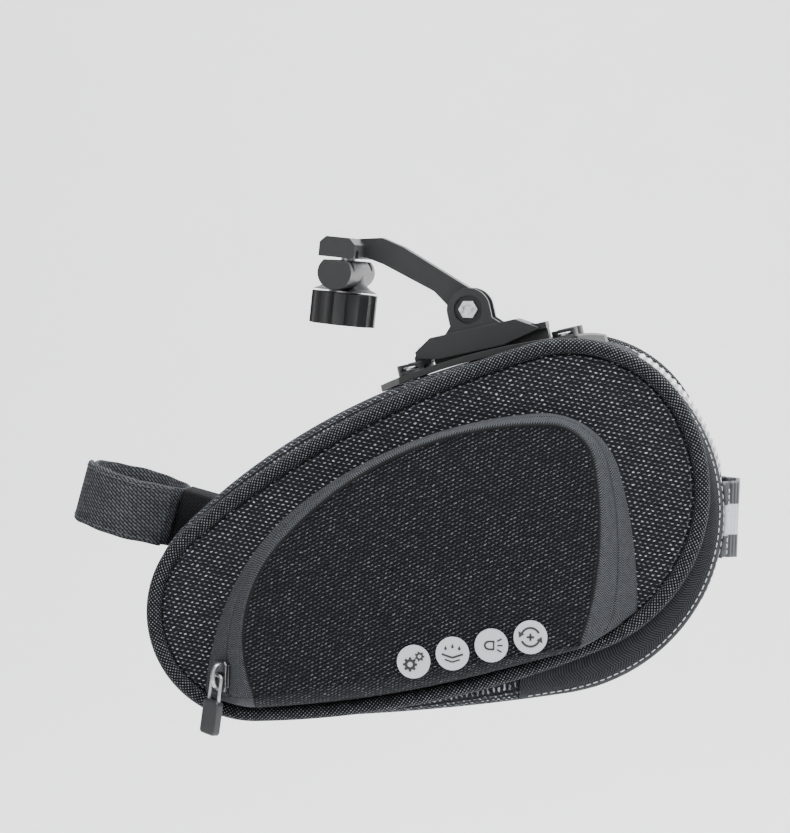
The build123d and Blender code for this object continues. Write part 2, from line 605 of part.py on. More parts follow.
def beyond(plane, distance):
    """Everything on the outer side of a plane, from a distance on."""
    return plane.offset(distance).location * Pos(0, 0, FAR / 2) * Box(2 * FAR, 2 * FAR, FAR)


def below_slider(gap):
    """The region of the zipper's closed end, which is sewn down and doesn't open."""
    centre, _ = pocket_slit_arc()
    ray = pitched_frame(*centre, POCKET_SLIDER_ANGLE - POCKET_SEWN_ANGLE)
    seam = pitched_frame(*POCKET_SEAM_POINT, POCKET_SEAM_TURN)
    below = block(ray, (0, FAR), (-FAR, FAR), (-gap, FAR))
    return below & block(seam, (-FAR, gap), (-FAR, FAR), (-FAR, FAR))


def build_pocket():
    """The front panel and the two zipper walls, parted at the slit."""
    shell = pocket_solid(0) - pocket_solid(POCKET_WALL)
    shell &= beyond(pocket_plane(0), 0)
    slit = pocket_plane(0.5)
    base_wall = shell - beyond(slit, -MOVE_GAP / 2)
    moving = shell & beyond(slit, MOVE_GAP / 2)
    panel = moving & beyond(pocket_plane(1), -POCKET_WALL)
    outer_wall = moving - beyond(pocket_plane(1), -POCKET_WALL - MOVE_GAP)
    sewn_end = outer_wall & below_slider(0)
    return panel, outer_wall - below_slider(MOVE_GAP), sewn_end, base_wall


def reflective_badges():
    badges = []
    for i in range(BADGE_COUNT):
        x, z = polar(BADGE_FIRST, i * BADGE_PITCH, BADGE_TURN)
        disc = Pos(x, z, BADGE_THICKNESS / 2 + FIT_GAP / 2) * Cylinder(BADGE_R, BADGE_THICKNESS)
        badges.append(pocket_plane(1).location * disc)
    return badges


# ---- zipper sliders -------------------------------------------------------------------

def slider_body(frame):
    """A slider on the tape: its top plate, tapered to the front, and its bail."""
    points = [(-5, -2.2), (-3, -3.0), (3, -3.6), (5, -3.0), (5, 3.0), (3, 3.6), (-3, 3.0), (-5, 2.2)]
    plate = extrude(frame * make_face(Polyline(*points, close=True)), amount=1.5, dir=frame.z_dir)
    bail = block(frame, (-4, 4), (-0.9, 0.9), (1.4, 4.4)) - block(frame, (-2.8, 2.8), (-1, 1), (1.5, 3.2))
    return plate + bail


def pull_frame(frame, length, width):
    """A flat ring in the frame's X-Z plane: its top bar lies on the frame's Y axis."""
    bar = 1.0
    outer = block(frame, (-length + bar / 2, bar / 2), (-width / 2, width / 2), (-bar / 2, bar / 2))
    window = block(frame, (-length + 1.5, -bar / 2), (bar - width / 2, width / 2 - bar), (-FAR, FAR))
    return outer - window


def pull_grip(frame, start, length, width, thickness):
    """A moulded grip with rounded ends and two finger grooves."""
    body = block(frame, (-start - length, -start), (-width / 2, width / 2), (-thickness / 2, thickness / 2))
    corners = body.edges().filter_by(lambda edge: abs(edge.length - thickness) < 0.01)
    body = fillet(corners, width / 4)
    for share in (0.35, 0.55, 0.75):
        x = -start - length * share
        groove = width / 2 - GROOVE_MARGIN
        body -= block(frame, (x - GROOVE_HALF, x + GROOVE_HALF), (-groove, groove),
                      (thickness / 2 - GROOVE_DEPTH, FAR))
    return body



def main_slider_frame(lift):
    x, z = polar(CROWN_REAR_CENTRE, CROWN_REAR_R + lift, MAIN_SLIDER_ANGLE)
    turn = radians(MAIN_SLIDER_ANGLE)
    return Plane(origin=(x, ZIP_Y, z), x_dir=(-sin(turn), 0, cos(turn)), z_dir=(cos(turn), 0, sin(turn)))



def pocket_slit_arc():
    """Centre, radius and distance of the zipper's front stretch, halfway up the pocket's wall."""
    base_c, base_r, front_c, front_r = POCKET_BASE[4], POCKET_BASE[5], POCKET_FRONT[4], POCKET_FRONT[5]
    centre = ((base_c[0] + front_c[0]) / 2, (base_c[1] + front_c[1]) / 2)
    return centre, (base_r + front_r) / 2


def pocket_slider_frame(lift):
    """A frame on the sloping front wall: X along the zipper, Z out of the wall."""
    centre, radius = pocket_slit_arc()
    x, z = polar(centre, radius, POCKET_SLIDER_ANGLE)
    y = pocket_plane(0.5).from_local_coords((x, z, 0)).Y
    out_x, out_z = polar((0, 0), POCKET_WALL_LEAN, POCKET_SLIDER_ANGLE)
    out = Vector(out_x, -1, out_z).normalized()
    along = Vector(0, 0, 1)
    along = (along - out * along.dot(out)).normalized()
    origin = Vector(x, y, z) + out * lift
    return Plane(origin=origin, x_dir=along, z_dir=out)


def hanging_frame(point, across_dir):
    """A frame for a piece that hangs from its pin, leaning forward: -X points down it."""
    lean = radians(POCKET_PULL_LEAN)
    up = Vector(sin(lean), 0, cos(lean))
    return Plane(origin=point, x_dir=up, z_dir=up.cross(across_dir) * -1)


def lying_frame(point):
    """A frame for a pull that lies under the bag: -X points forward, Z points down."""
    turn = radians(MAIN_PULL_PITCH)
    return Plane(origin=point, x_dir=(cos(turn), 0, sin(turn)), z_dir=(sin(turn), 0, -cos(turn)))


# ---- seatpost strap -------------------------------------------------------------------

def strap_band(inner_r, start, end, width=STRAP_WIDTH):
    """Part of a ring round the seatpost, between two angles seen from above."""
    low, high = inner_r, inner_r + STRAP_THICKNESS
    edges = [arc_edge(((0, 0), low, start, end), 0), arc_edge(((0, 0), high, start, end), 0)]
    edges += [Line(polar((0, 0), low, angle), polar((0, 0), high, angle)) for angle in (start, end)]
    face = Plane(STRAP.location * Pos(0, 0, -width / 2)) * make_face(edges)
    return extrude(face, amount=width, dir=STRAP.z_dir)


def seatpost_strap():
    low, high = POST_R, POST_R + STRAP_THICKNESS
    ring = upright(STRAP, 0, 0, high, -STRAP_WIDTH / 2, STRAP_WIDTH / 2)
    return ring - upright(STRAP, 0, 0, low, -FAR, FAR)


def strap_anchor():
    """Webbing from the strap's loop to the gusset, with the strap's width."""
    half = STRAP_WIDTH / 2
    web = block(STRAP, (POST_R + STRAP_THICKNESS - 1, POST_R + STRAP_THICKNESS + 14), (-9, 9), (-half, half))
    web -= upright(STRAP, 0, 0, POST_R + STRAP_THICKNESS + FIT_GAP, -FAR, FAR)
    return web - slab(CROWN, FIT_GAP, -FAR, FAR)


def strap_end():
    inner = POST_R + STRAP_THICKNESS + MOVE_GAP
    return strap_band(inner, *STRAP_END_ANGLES)


# ---- build ----------------------------------------------------------------------------

def build():
    save("bracket_arm", bracket_arm())
    save("clamp_screw", clamp_screw())
    save("lower_jaw", lower_jaw())
    save("knob_washer", knob_washer())
    save("clamp_knob", clamp_knob())
    save("knob_nut", knob_nut())
    save("pivot_bolt", pivot_bolt())
    save("pivot_nut", pivot_nut())
    save("pivot_washers", pivot_washers())
    save("quick_release_socket", quick_release_socket())
    save("latch_button", latch_button())
    save("latch_spring", latch_spring())
    save("base_plate", base_plate())
    save("backing_plate", backing_plate())
    save("rivets", rivets())
    save("left_side_panel", side_shell(-1))
    save("right_side_panel", side_shell(1))
    save("left_piping", piping(-1))
    save("right_piping", piping(1))
    gusset, flap, tape_flap, tape_shell = build_fabric()
    save("gusset", gusset)
    save("rear_flap", flap)
    save("zipper_tape_flap", tape_flap)
    save("zipper_tape_body", tape_shell)
    coil_gap = MOVE_GAP / 2
    save("zipper_coil_flap", zipper_coils(ZIP_Y - coil_gap - ZIP_COIL_WIDTH, ZIP_Y - coil_gap))
    save("zipper_coil_body", zipper_coils(ZIP_Y + coil_gap, ZIP_Y + coil_gap + ZIP_COIL_WIDTH))
    save("reflective_strip", reflective_strip())
    save("light_loop", light_loop())
    save("inner_mesh_pocket", inner_mesh_pocket())
    panel, outer_wall, sewn_end, base_wall = build_pocket()
    save("pocket_panel", panel)
    save("pocket_tape_outer", outer_wall)
    save("pocket_tape_end", sewn_end)
    save("pocket_tape_inner", base_wall)
    save("reflective_badges", reflective_badges())
    save("main_slider", slider_body(main_slider_frame(MOVE_GAP)))
    main_pin = main_slider_frame(MOVE_GAP + SLIDER_PIN)
    main_lie = lying_frame(main_pin.origin)
    save("main_puller", pull_frame(main_lie, *MAIN_PULL) + pull_grip(main_lie, *MAIN_GRIP))
    save("pocket_slider", slider_body(pocket_slider_frame(MOVE_GAP)))
    pin = pocket_slider_frame(MOVE_GAP + SLIDER_PIN)
    hang = hanging_frame(pin.origin, pin.y_dir)
    save("pocket_pull_frame", pull_frame(hang, *POCKET_PULL))
    save("pocket_pull_grip", pull_grip(hang, *POCKET_GRIP) - pull_frame(hang, *POCKET_PULL))
    save("seatpost_strap", seatpost_strap())
    save("strap_anchor", strap_anchor())
    save("strap_end", strap_end())


build()
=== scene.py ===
import bmesh
import bpy
import numpy as np
from math import atan2, cos, degrees, hypot, pi, radians, sin, sqrt, tan
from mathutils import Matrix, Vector


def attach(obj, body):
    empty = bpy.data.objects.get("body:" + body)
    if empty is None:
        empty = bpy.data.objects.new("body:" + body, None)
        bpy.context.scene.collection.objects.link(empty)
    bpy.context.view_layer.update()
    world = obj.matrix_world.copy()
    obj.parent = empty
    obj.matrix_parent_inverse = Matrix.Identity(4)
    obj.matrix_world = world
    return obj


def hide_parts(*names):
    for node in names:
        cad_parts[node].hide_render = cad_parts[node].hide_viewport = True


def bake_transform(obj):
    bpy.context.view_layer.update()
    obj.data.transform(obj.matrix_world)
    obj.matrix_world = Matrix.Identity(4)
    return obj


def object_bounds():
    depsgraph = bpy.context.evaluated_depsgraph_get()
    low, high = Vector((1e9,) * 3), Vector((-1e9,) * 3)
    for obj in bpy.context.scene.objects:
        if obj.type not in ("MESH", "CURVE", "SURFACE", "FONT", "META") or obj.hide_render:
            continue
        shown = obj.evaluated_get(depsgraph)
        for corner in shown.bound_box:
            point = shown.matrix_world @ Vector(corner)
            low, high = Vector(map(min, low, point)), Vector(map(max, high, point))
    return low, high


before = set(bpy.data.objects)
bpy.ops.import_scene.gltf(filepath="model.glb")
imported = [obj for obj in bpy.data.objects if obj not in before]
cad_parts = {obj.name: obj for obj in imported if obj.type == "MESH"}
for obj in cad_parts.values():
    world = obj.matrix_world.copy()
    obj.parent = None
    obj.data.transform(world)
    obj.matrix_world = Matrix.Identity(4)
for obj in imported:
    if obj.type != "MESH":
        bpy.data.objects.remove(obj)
cad_low, cad_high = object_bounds()

# Shapes are worked out in millimetres and become meshes in metres.
MM = 0.001
FAR = 500

# ---- sizes of the bag -----------------------------------------------------------------

# Outline of the side panels along the middle of the piping, and midway between the panels
REAR_CENTRE, REAR_R = (65.8, -74.6), 52.6
CORNER_R, CORNER_TURN = 40.8, 30.4
NOSE_CENTRE, NOSE_R = (-27.3, -115.8), 32.9
TOP_R, BOTTOM_R = 312.0, 307.0
CROWN_REAR_CENTRE, CROWN_REAR_R = (65.1, -82.9), 60.1
CROWN_CORNER_R, CROWN_CORNER_TURN = 28.0, 60.0
CROWN_NOSE_CENTRE, CROWN_NOSE_R = (-26.5, -114.5), 37.0
CROWN_TOP_R, CROWN_BOTTOM_R = 215.0, 700.0

PIPING_Y, PIPING_R = 31.0, 2.5
PANEL_Y = 32.0                      # outer face of the side panels
SHELL_HALF = 28.9                   # where the gusset meets the piping
FABRIC = 2.4                        # thickness of the laminated fabric

FLAP_ANGLES = (-95.5, 67.0)         # the rear flap, seen from the crown's rear centre
GUSSET_TURNS = (97.0, 112.0, 262.0)  # rays leave the rear centre, meet the nose's and leave it
ZIP_Y, TAPE_WIDTH = 20.0, 4.0
FLAP_SEAMS, TAPE_SEAM, GUSSET_SEAM = (13.4, 14.9), 24.2, 26.6
SLIT = 0.15
STRIP_ANGLES, STRIP_HALF, RIB_PITCH = (13.0, 58.0), 12.0, 2.7
LOOP_ANGLE, LOOP_HEIGHT, LOOP_STAND, LOOP_HALF = -2.0, 25.0, 5.0, 15.0

SLIDER_PIN = 2.5                    # from the tape up to the pull's pin
POCKET_BASE = ((67.7, -75.1), 25.8, 16.1, 141.0, (39.5, -144.3), 82.5, 148.4)
POCKET_FRONT = ((69.7, -67.4), 15.0, 10.7, 112.8, (16.6, -121.8), 45.4, 111.5)
SEAM_POINT, SEAM_TURN = (-24.5, -141.5), 10.0
POCKET_TOP_Z, POCKET_TOP_DEPTH, POCKET_DEEPENING = -57.0, 7.0, 0.072
POCKET_SIDE_Y = 32.1
SLIDER_ANGLE, SEWN_ANGLE = 182.0, 13.0
MAIN_SLIDER_ANGLE, PULL_LEAN, PULL_PITCH = -75.0, 8.0, 12.0
BADGE_FIRST, BADGE_PITCH, BADGE_TURN, BADGE_R, BADGE_RISE = (27.2, -129.0), 12.75, 12.7, 5.35, 0.8

STRAP_CENTRE, STRAP_TILT = (-73.2, -82.4), 15.5
POST_R, STRAP_WIDTH, STRAP_THICKNESS = 15.5, 20.0, 1.5
STRAP_END_ANGLES = (180.0, 318.0)

# ---- node materials -------------------------------------------------------------------


class Paint:
    """One node material. Sums take sockets and plain numbers alike."""

    def __init__(self, name, roughness=0.6, metallic=0.0, specular=0.5, sheen=0.0, bevel=0.0):
        self.material = bpy.data.materials.new(name)
        self.material.use_nodes = True
        self.tree = self.material.node_tree
        self.shader = self.tree.nodes["Principled BSDF"]
        self.shader.inputs["Roughness"].default_value = roughness
        self.shader.inputs["Metallic"].default_value = metallic
        self.shader.inputs["Specular IOR Level"].default_value = specular
        self.shader.inputs["Sheen Weight"].default_value = sheen
        self.shader.inputs["Sheen Roughness"].default_value = 0.5
        self.rounding = bevel

    def node(self, kind, **settings):
        made = self.tree.nodes.new(kind)
        for key, value in settings.items():
            setattr(made, key, value)
        return made

    def put(self, socket, value):
        if isinstance(value, bpy.types.NodeSocket):
            self.tree.links.new(value, socket)
        else:
            socket.default_value = value

    def math(self, operation, *values):
        made = self.node("ShaderNodeMath", operation=operation)
        for socket, value in zip(made.inputs, values):
            self.put(socket, value)
        return made.outputs[0]

    def add(self, a, b):
        return self.math("ADD", a, b)

    def times(self, a, b):
        return self.math("MULTIPLY", a, b)

    def less(self, a, b):
        return self.math("SUBTRACT", a, b)

    def ramp(self, value, low, high):
        """0 below low and 1 above high, smooth between; low may be the larger."""
        made = self.node("ShaderNodeMapRange", interpolation_type="SMOOTHSTEP")
        for name, given in (("Value", value), ("From Min", min(low, high)), ("From Max", max(low, high))):
            self.put(made.inputs[name], given)
        made.inputs["To Min"].default_value = 0.0 if low < high else 1.0
        made.inputs["To Max"].default_value = 1.0 if low < high else 0.0
        return made.outputs["Result"]

    def mix(self, share, a, b):
        made = self.node("ShaderNodeMix", data_type="RGBA")
        for socket, value in ((made.inputs[0], share), (made.inputs[6], a), (made.inputs[7], b)):
            self.put(socket, (*value, 1.0) if isinstance(value, tuple) else value)
        return made.outputs[2]

    def along(self, turn=0.0):
        """The UV map's two directions, in millimetres, turned by some degrees."""
        split = self.node("ShaderNodeSeparateXYZ")
        self.put(split.inputs[0], self.node("ShaderNodeUVMap", uv_map="Weave").outputs[0])
        u, v = split.outputs[0], split.outputs[1]
        if not turn:
            return u, v
        c, s = cos(radians(turn)), sin(radians(turn))
        return (self.add(self.times(u, c), self.times(v, s)),
                self.less(self.times(v, c), self.times(u, s)))

    def place(self, scale=1.0):
        """Position in the frame, in millimetres times a scale."""
        made = self.node("ShaderNodeVectorMath", operation="SCALE")
        self.put(made.inputs[0], self.node("ShaderNodeTexCoord").outputs["Object"])
        made.inputs["Scale"].default_value = scale / MM
        return made.outputs[0]

    def noise(self, scale, detail=2.0, at=None):
        """Noise with features of about 1 / scale millimetres."""
        made = self.node("ShaderNodeTexNoise")
        self.put(made.inputs["Vector"], at or self.place())
        made.inputs["Scale"].default_value = scale
        made.inputs["Detail"].default_value = detail
        return made.outputs["Fac"]

    def chance(self, a, b):
        """A number from 0 to 1 for each pair of whole numbers."""
        join = self.node("ShaderNodeCombineXYZ")
        self.put(join.inputs[0], a)
        self.put(join.inputs[1], b)
        made = self.node("ShaderNodeTexWhiteNoise", noise_dimensions="2D")
        self.put(made.inputs["Vector"], join.outputs[0])
        return made.outputs["Value"]

    def cells(self, u, v, pitch_u, pitch_v, stagger=0.5):
        """Offsets from the centre of a staggered cell, in millimetres, and its chance number."""
        row = self.math("FLOOR", self.times(v, 1 / pitch_v))
        odd = self.math("FLOORED_MODULO", row, 2.0)
        column = self.add(self.times(u, 1 / pitch_u), self.times(odd, stagger))
        x = self.times(self.less(self.math("FRACT", column), 0.5), pitch_u)
        y = self.times(self.less(self.math("FRACT", self.times(v, 1 / pitch_v)), 0.5), pitch_v)
        return x, y, self.chance(self.math("FLOOR", column), row)

    def spot(self, x, y, radius_x, radius_y, soft=0.5):
        """1 inside an ellipse, falling to 0 at its rim."""
        q = self.add(self.math("POWER", self.math("ABSOLUTE", self.times(x, 1 / radius_x)), 2.0),
                     self.math("POWER", self.math("ABSOLUTE", self.times(y, 1 / radius_y)), 2.0))
        return self.ramp(q, 1.0, soft)

    def wave(self, value, pitch):
        """A sine from 0 to 1."""
        turned = self.math("SINE", self.times(value, 2 * pi / pitch))
        return self.add(self.times(turned, 0.5), 0.5)

    def edges(self, radius):
        """1 on sharp outer and inner edges, 0 on faces."""
        rounded = self.node("ShaderNodeBevel", samples=4)
        rounded.inputs["Radius"].default_value = radius * MM
        dot = self.node("ShaderNodeVectorMath", operation="DOT_PRODUCT")
        self.put(dot.inputs[0], rounded.outputs[0])
        self.put(dot.inputs[1], self.node("ShaderNodeNewGeometry").outputs["Normal"])
        return self.ramp(dot.outputs["Value"], 0.995, 0.86)

    def finish(self, colour, height=None, depth=0.1, roughness=None):
        """Joins a colour and a relief that is depth millimetres deep."""
        self.put(self.shader.inputs["Base Color"], (*colour, 1.0) if isinstance(colour, tuple) else colour)
        if roughness is not None:
            self.put(self.shader.inputs["Roughness"], roughness)
        normal = None
        if self.rounding:
            rounded = self.node("ShaderNodeBevel", samples=4)
            rounded.inputs["Radius"].default_value = self.rounding * MM
            normal = rounded.outputs[0]
        if height is not None:
            bump = self.node("ShaderNodeBump")
            bump.inputs["Distance"].default_value = depth * MM
            bump.inputs["Strength"].default_value = 1.0
            self.put(bump.inputs["Height"], height)
            if normal is not None:
                self.put(bump.inputs["Normal"], normal)
            normal = bump.outputs[0]
        if normal is not None:
            self.put(self.shader.inputs["Normal"], normal)
        return self.material


def knitted_mesh(name, pitch, turn, stroke, fleck, ground, slant=0.0):
    """Three-dimensional knit: staggered bright strokes of thread over fine zigzags and dark holes."""
    p = Paint(name, roughness=0.8, specular=0.12, sheen=0.0)
    pitch_u, pitch_v = pitch
    u, v = p.along(turn)
    wander = p.times(p.less(p.noise(0.8, 2.0), 0.5), 1.1)
    drift = p.times(p.less(p.noise(0.55, 2.0), 0.5), 0.9)
    x, y, chance = p.cells(p.add(u, drift), p.add(v, wander), pitch_u, pitch_v)
    tilted = p.less(y, p.times(x, slant))
    loop = p.spot(x, tilted, stroke[0], stroke[1], 0.2)
    hole = p.spot(x, p.less(p.math("ABSOLUTE", y), pitch_v * 0.46), pitch_u * 0.32, pitch_v * 0.2, 0.2)
    zigzag = p.wave(p.add(v, p.times(p.math("ABSOLUTE", x), 0.7)), pitch_v * 0.34)
    thread = p.wave(p.add(u, p.times(v, 0.6)), 0.36)
    nap = p.noise(2.2, 3.0)
    body = p.mix(p.times(p.times(zigzag, zigzag), p.add(0.35, p.times(nap, 0.75))), ground,
                 tuple(c * 3.6 + f * 0.05 for c, f in zip(ground, fleck)))
    dark = p.mix(hole, body, tuple(c * 0.2 for c in ground))
    bright = p.times(p.add(0.28, p.times(p.times(chance, chance), 0.9)), p.add(0.62, p.times(thread, 0.38)))
    colour = p.mix(p.times(loop, bright), dark, fleck)
    relief = p.add(p.less(p.times(loop, 0.8), p.times(hole, 0.9)), p.times(zigzag, 0.2))
    return p.finish(colour, relief, 0.30)


def woven_cover(name):
    """Tight diagonal weave of a piping's cover, with a bright dot where threads cross."""
    p = Paint(name, roughness=0.7, specular=0.12)
    u, v = p.along(45)
    x, y, chance = p.cells(u, v, 0.92, 0.92, 0.0)
    dot = p.spot(x, y, 0.34, 0.27, 0.1)
    shade = p.times(dot, p.add(0.35, p.times(chance, 0.65)))
    colour = p.mix(shade, (0.0010, 0.0011, 0.0014), (0.20, 0.21, 0.227))
    return p.finish(colour, dot, 0.18)


def herringbone(name, column=1.4, stripe=0.80, light=(0.100, 0.105, 0.114)):
    """Zipper tape: fine stripes that change their slant from column to column."""
    p = Paint(name, roughness=0.8, specular=0.12)
    u, v = p.along()
    share = p.times(v, 1 / column)
    side = p.less(p.times(p.math("FLOORED_MODULO", p.math("FLOOR", share), 2.0), 2.0), 1.0)
    across = p.times(p.less(p.math("FRACT", share), 0.5), column)
    line = p.wave(p.add(u, p.times(across, side)), stripe)
    tone = p.times(line, p.add(0.45, p.times(p.noise(0.7, 3.0), 0.7)))
    return p.finish(p.mix(tone, (0.0022, 0.0024, 0.0030), light), line, 0.12)


def twill(name, dark, light, pitch=0.62, slant=35, depth=0.12, fuzz=0.5):
    """Diagonal weave with a fuzzy nap."""
    p = Paint(name, roughness=0.85, specular=0.1)
    u, v = p.along(slant)
    line = p.wave(v, pitch)
    x, _, chance = p.cells(u, v, pitch * 2.2, pitch)
    cut = p.ramp(p.math("ABSOLUTE", x), pitch * 1.1, pitch * 0.75)
    nap = p.noise(5.0, 4.0)
    thread = p.times(p.times(line, cut), p.add(0.55, p.times(chance, 0.45)))
    tone = p.add(p.times(thread, 1 - fuzz), p.times(nap, fuzz))
    return p.finish(p.mix(p.ramp(tone, 0.15, 0.8), dark, light), p.add(thread, p.times(nap, 0.5)), depth)


def moulded_nylon(name, tone=0.0085, grain=7.0, gloss=0.40):
    """Glass-filled nylon: spark-eroded grain, faint flow marks and a painted highlight on its edges."""
    p = Paint(name, specular=0.45, bevel=0.35)
    flow = p.noise(0.07, 3.0)
    fine = p.noise(grain, 3.0)
    # Painted highlight: the edges are made lighter in noisy patches, standing in for light catching the
    # moulded edges.
    painted_edge_highlight = p.times(p.edges(0.3), p.ramp(p.noise(0.8, 3.0), 0.38, 0.7))
    base = p.mix(flow, (tone * 0.75,) * 2 + (tone * 0.8,), (tone * 1.5, tone * 1.52, tone * 1.6))
    colour = p.mix(p.times(painted_edge_highlight, 0.55), base, (tone * 5, tone * 5, tone * 5.3))
    rough = p.add(gloss - 0.08, p.times(p.noise(1.4, 3.0), 0.2))
    return p.finish(colour, fine, 0.035, rough)


def moulded_rubber(name):
    p = Paint(name, specular=0.5, bevel=0.3)
    flow = p.noise(0.5, 2.0)
    # Painted highlight: every edge of the grip is made a little lighter, standing in for light on its
    # rounded edges.
    painted_edge_highlight = p.times(p.edges(0.25), 0.35)
    colour = p.mix(painted_edge_highlight, p.mix(flow, (0.010, 0.010, 0.011), (0.020, 0.020, 0.022)), (0.075, 0.077, 0.08))
    return p.finish(colour, p.noise(4.0, 3.0), 0.03, p.add(0.30, p.times(flow, 0.22)))


def machined_steel(name, tone, rough=0.25):
    """Turned steel: fine rings of brushing and a few darker stains."""
    p = Paint(name, metallic=1.0, bevel=0.2)
    stain = p.noise(0.7, 3.0)
    stained = (tone * 0.55, tone * 0.54, tone * 0.53)
    colour = p.mix(p.ramp(stain, 0.45, 0.75), (tone, tone, tone * 1.02), stained)
    return p.finish(colour, p.noise(9.0, 2.0), 0.012, p.add(rough, p.times(stain, 0.2)))


def painted_metal(name):
    """Black plated zinc with a bright silver painted highlight on its edges."""
    p = Paint(name, metallic=1.0, bevel=0.15)
    # Painted highlight: the edges are made silver in noisy patches, standing in for light glinting on them.
    painted_edge_highlight = p.times(p.edges(0.22), p.ramp(p.noise(1.6, 3.0), 0.3, 0.6))
    colour = p.mix(painted_edge_highlight, (0.075, 0.075, 0.08), (0.62, 0.62, 0.64))
    return p.finish(colour, p.noise(5.0, 2.0), 0.02, p.add(0.24, p.times(p.noise(2.0, 2.0), 0.2)))


def reflective_ribs(name):
    """Retroreflective tape woven as light ribs on a grey ground."""
    p = Paint(name, roughness=0.38, specular=0.6)
    u, v = p.along()
    rib = p.ramp(p.wave(u, RIB_PITCH), 0.35, 0.6)
    grain = p.add(0.7, p.times(p.noise(3.0, 3.0), 0.5))
    fine = p.wave(v, 0.5)
    light = p.times(p.mix(rib, (0.16, 0.165, 0.175), (0.62, 0.64, 0.67)), 1.0)    # a plain grey
    colour = p.mix(p.times(fine, 0.25), light, (0.1, 0.1, 0.11))
    return p.finish(colour, p.add(rib, p.times(grain, 0.2)), 0.1)


def reflective_film(name):
    """Grey film of glass beads on the badges."""
    p = Paint(name, roughness=0.4, specular=0.6)
    bead = p.noise(8.0, 2.0)
    colour = p.mix(p.ramp(bead, 0.3, 0.7), (0.36, 0.365, 0.375), (0.52, 0.525, 0.54))
    return p.finish(colour, bead, 0.02)


def banded_webbing(name):
    """Ribbed webbing with a silver band between two dark ones."""
    p = Paint(name, roughness=0.5, specular=0.5)
    u, v = p.along()
    rib = p.wave(u, 0.75)
    silver = p.times(p.ramp(v, -5.2, -4.8), p.ramp(v, 5.2, 4.8))
    dark = p.mix(rib, (0.018, 0.018, 0.02), (0.085, 0.087, 0.092))
    light = p.mix(p.times(rib, p.noise(2.0)), (0.50, 0.51, 0.53), (0.36, 0.37, 0.39))
    return p.finish(p.mix(silver, dark, light), rib, 0.12)


def sewing_thread(name, tone):
    p = Paint(name, roughness=0.55, specular=0.3)
    twist = p.noise(6.0, 2.0)
    return p.finish(p.mix(twist, (tone * 0.7,) * 3, (tone * 1.2, tone * 1.2, tone * 1.25)), twist, 0.05)


def plain_cloth(name, tone, pitch=0.5):
    """Plain weave of the linings and bindings."""
    p = Paint(name, roughness=0.85, specular=0.18)
    u, v = p.along()
    weave = p.times(p.wave(u, pitch), p.wave(v, pitch))
    share = p.add(p.times(weave, 0.7), p.times(p.noise(0.6), 0.4))
    tint = p.mix(share, (tone * 0.4,) * 3, (tone, tone, tone * 1.08))
    return p.finish(tint, weave, 0.1)


def open_net(name):
    """Hexagonal net, with dark holes."""
    p = Paint(name, roughness=0.7, specular=0.35)
    u, v = p.along()
    x, y, _ = p.cells(u, v, 2.4, 2.0)
    hole = p.spot(x, y, 0.95, 0.8, 0.75)
    p.put(p.shader.inputs["Alpha"], p.less(1.0, hole))
    return p.finish(p.mix(p.noise(3.0), (0.03, 0.03, 0.033), (0.08, 0.08, 0.086)))


def coil_nylon(name):
    p = Paint(name, roughness=0.32, specular=0.5)
    return p.finish(p.mix(p.noise(1.0), (0.012, 0.012, 0.013), (0.035, 0.035, 0.038)), p.noise(4.0), 0.02)


# ---- outlines -------------------------------------------------------------------------

def polar(centre, radius, angle):
    return (centre[0] + radius * cos(radians(angle)), centre[1] + radius * sin(radians(angle)))


def bearing(start, end):
    return degrees(atan2(end[1] - start[1], end[0] - start[0])) % 360


def enclosing_centre(first, first_r, second, second_r, radius, side):
    """Centre of the arc of a radius that touches two circles inside it."""
    a, b = radius - first_r, radius - second_r
    gap = hypot(second[0] - first[0], second[1] - first[1])
    along = (a * a - b * b + gap * gap) / (2 * gap)
    across = side * sqrt(a * a - along * along)
    ux, uz = (second[0] - first[0]) / gap, (second[1] - first[1]) / gap
    return (first[0] + ux * along - uz * across, first[1] + uz * along + ux * across)


def bag_outline(rear, rear_r, corner_r, corner_turn, nose, nose_r, top_r, bottom_r):
    """Arcs (centre, radius, start, end) round the bag, from the bottom of its rear."""
    corner = polar(rear, rear_r - corner_r, corner_turn)
    top = enclosing_centre(corner, corner_r, nose, nose_r, top_r, 1)
    bottom = enclosing_centre(rear, rear_r, nose, nose_r, bottom_r, -1)
    top_start, top_end = bearing(top, corner), bearing(top, nose)
    bottom_start, bottom_end = bearing(bottom, nose), bearing(bottom, rear)
    return [(rear, rear_r, bottom_end - 360, corner_turn), (corner, corner_r, corner_turn, top_start),
            (top, top_r, top_start, top_end), (nose, nose_r, top_end, bottom_start),
            (bottom, bottom_r, bottom_start, bottom_end)]


def seam_crossing(centre, radius, side):
    """Angle at which an arc of the pocket meets the seam along its bottom."""
    seam_z = SEAM_POINT[1] + (centre[0] - SEAM_POINT[0]) * tan(radians(SEAM_TURN))
    distance = (seam_z - centre[1]) * cos(radians(SEAM_TURN))
    lean = degrees(atan2(distance, sqrt(radius ** 2 - distance ** 2)))
    return SEAM_TURN + lean if side > 0 else SEAM_TURN + 180 - lean


def pocket_arcs(outline):
    """Arcs of the pocket's edge from its rear foot over the top to its front foot."""
    corner, corner_r, rear_turn, rear_r, front, front_r, top_r = outline
    rear = polar(corner, -(rear_r - corner_r), rear_turn)
    top = enclosing_centre(corner, corner_r, front, front_r, top_r, 1)
    top_start, top_end = bearing(top, corner), bearing(top, front)
    return [(rear, rear_r, seam_crossing(rear, rear_r, 1), rear_turn),
            (corner, corner_r, rear_turn, top_start), (top, top_r, top_start, top_end),
            (front, front_r, top_end, seam_crossing(front, front_r, -1))]


def trace(arcs, counts):
    """Points and outward normals along arcs, with a number of steps for each."""
    points, normals = [], []
    for (centre, radius, start, end), count in zip(arcs, counts):
        turns = np.radians(np.linspace(start, end, count, endpoint=False))
        normal = np.column_stack([np.cos(turns), np.sin(turns)])
        points.append(np.array(centre) + radius * normal)
        normals.append(normal)
    return np.vstack(points), np.vstack(normals)


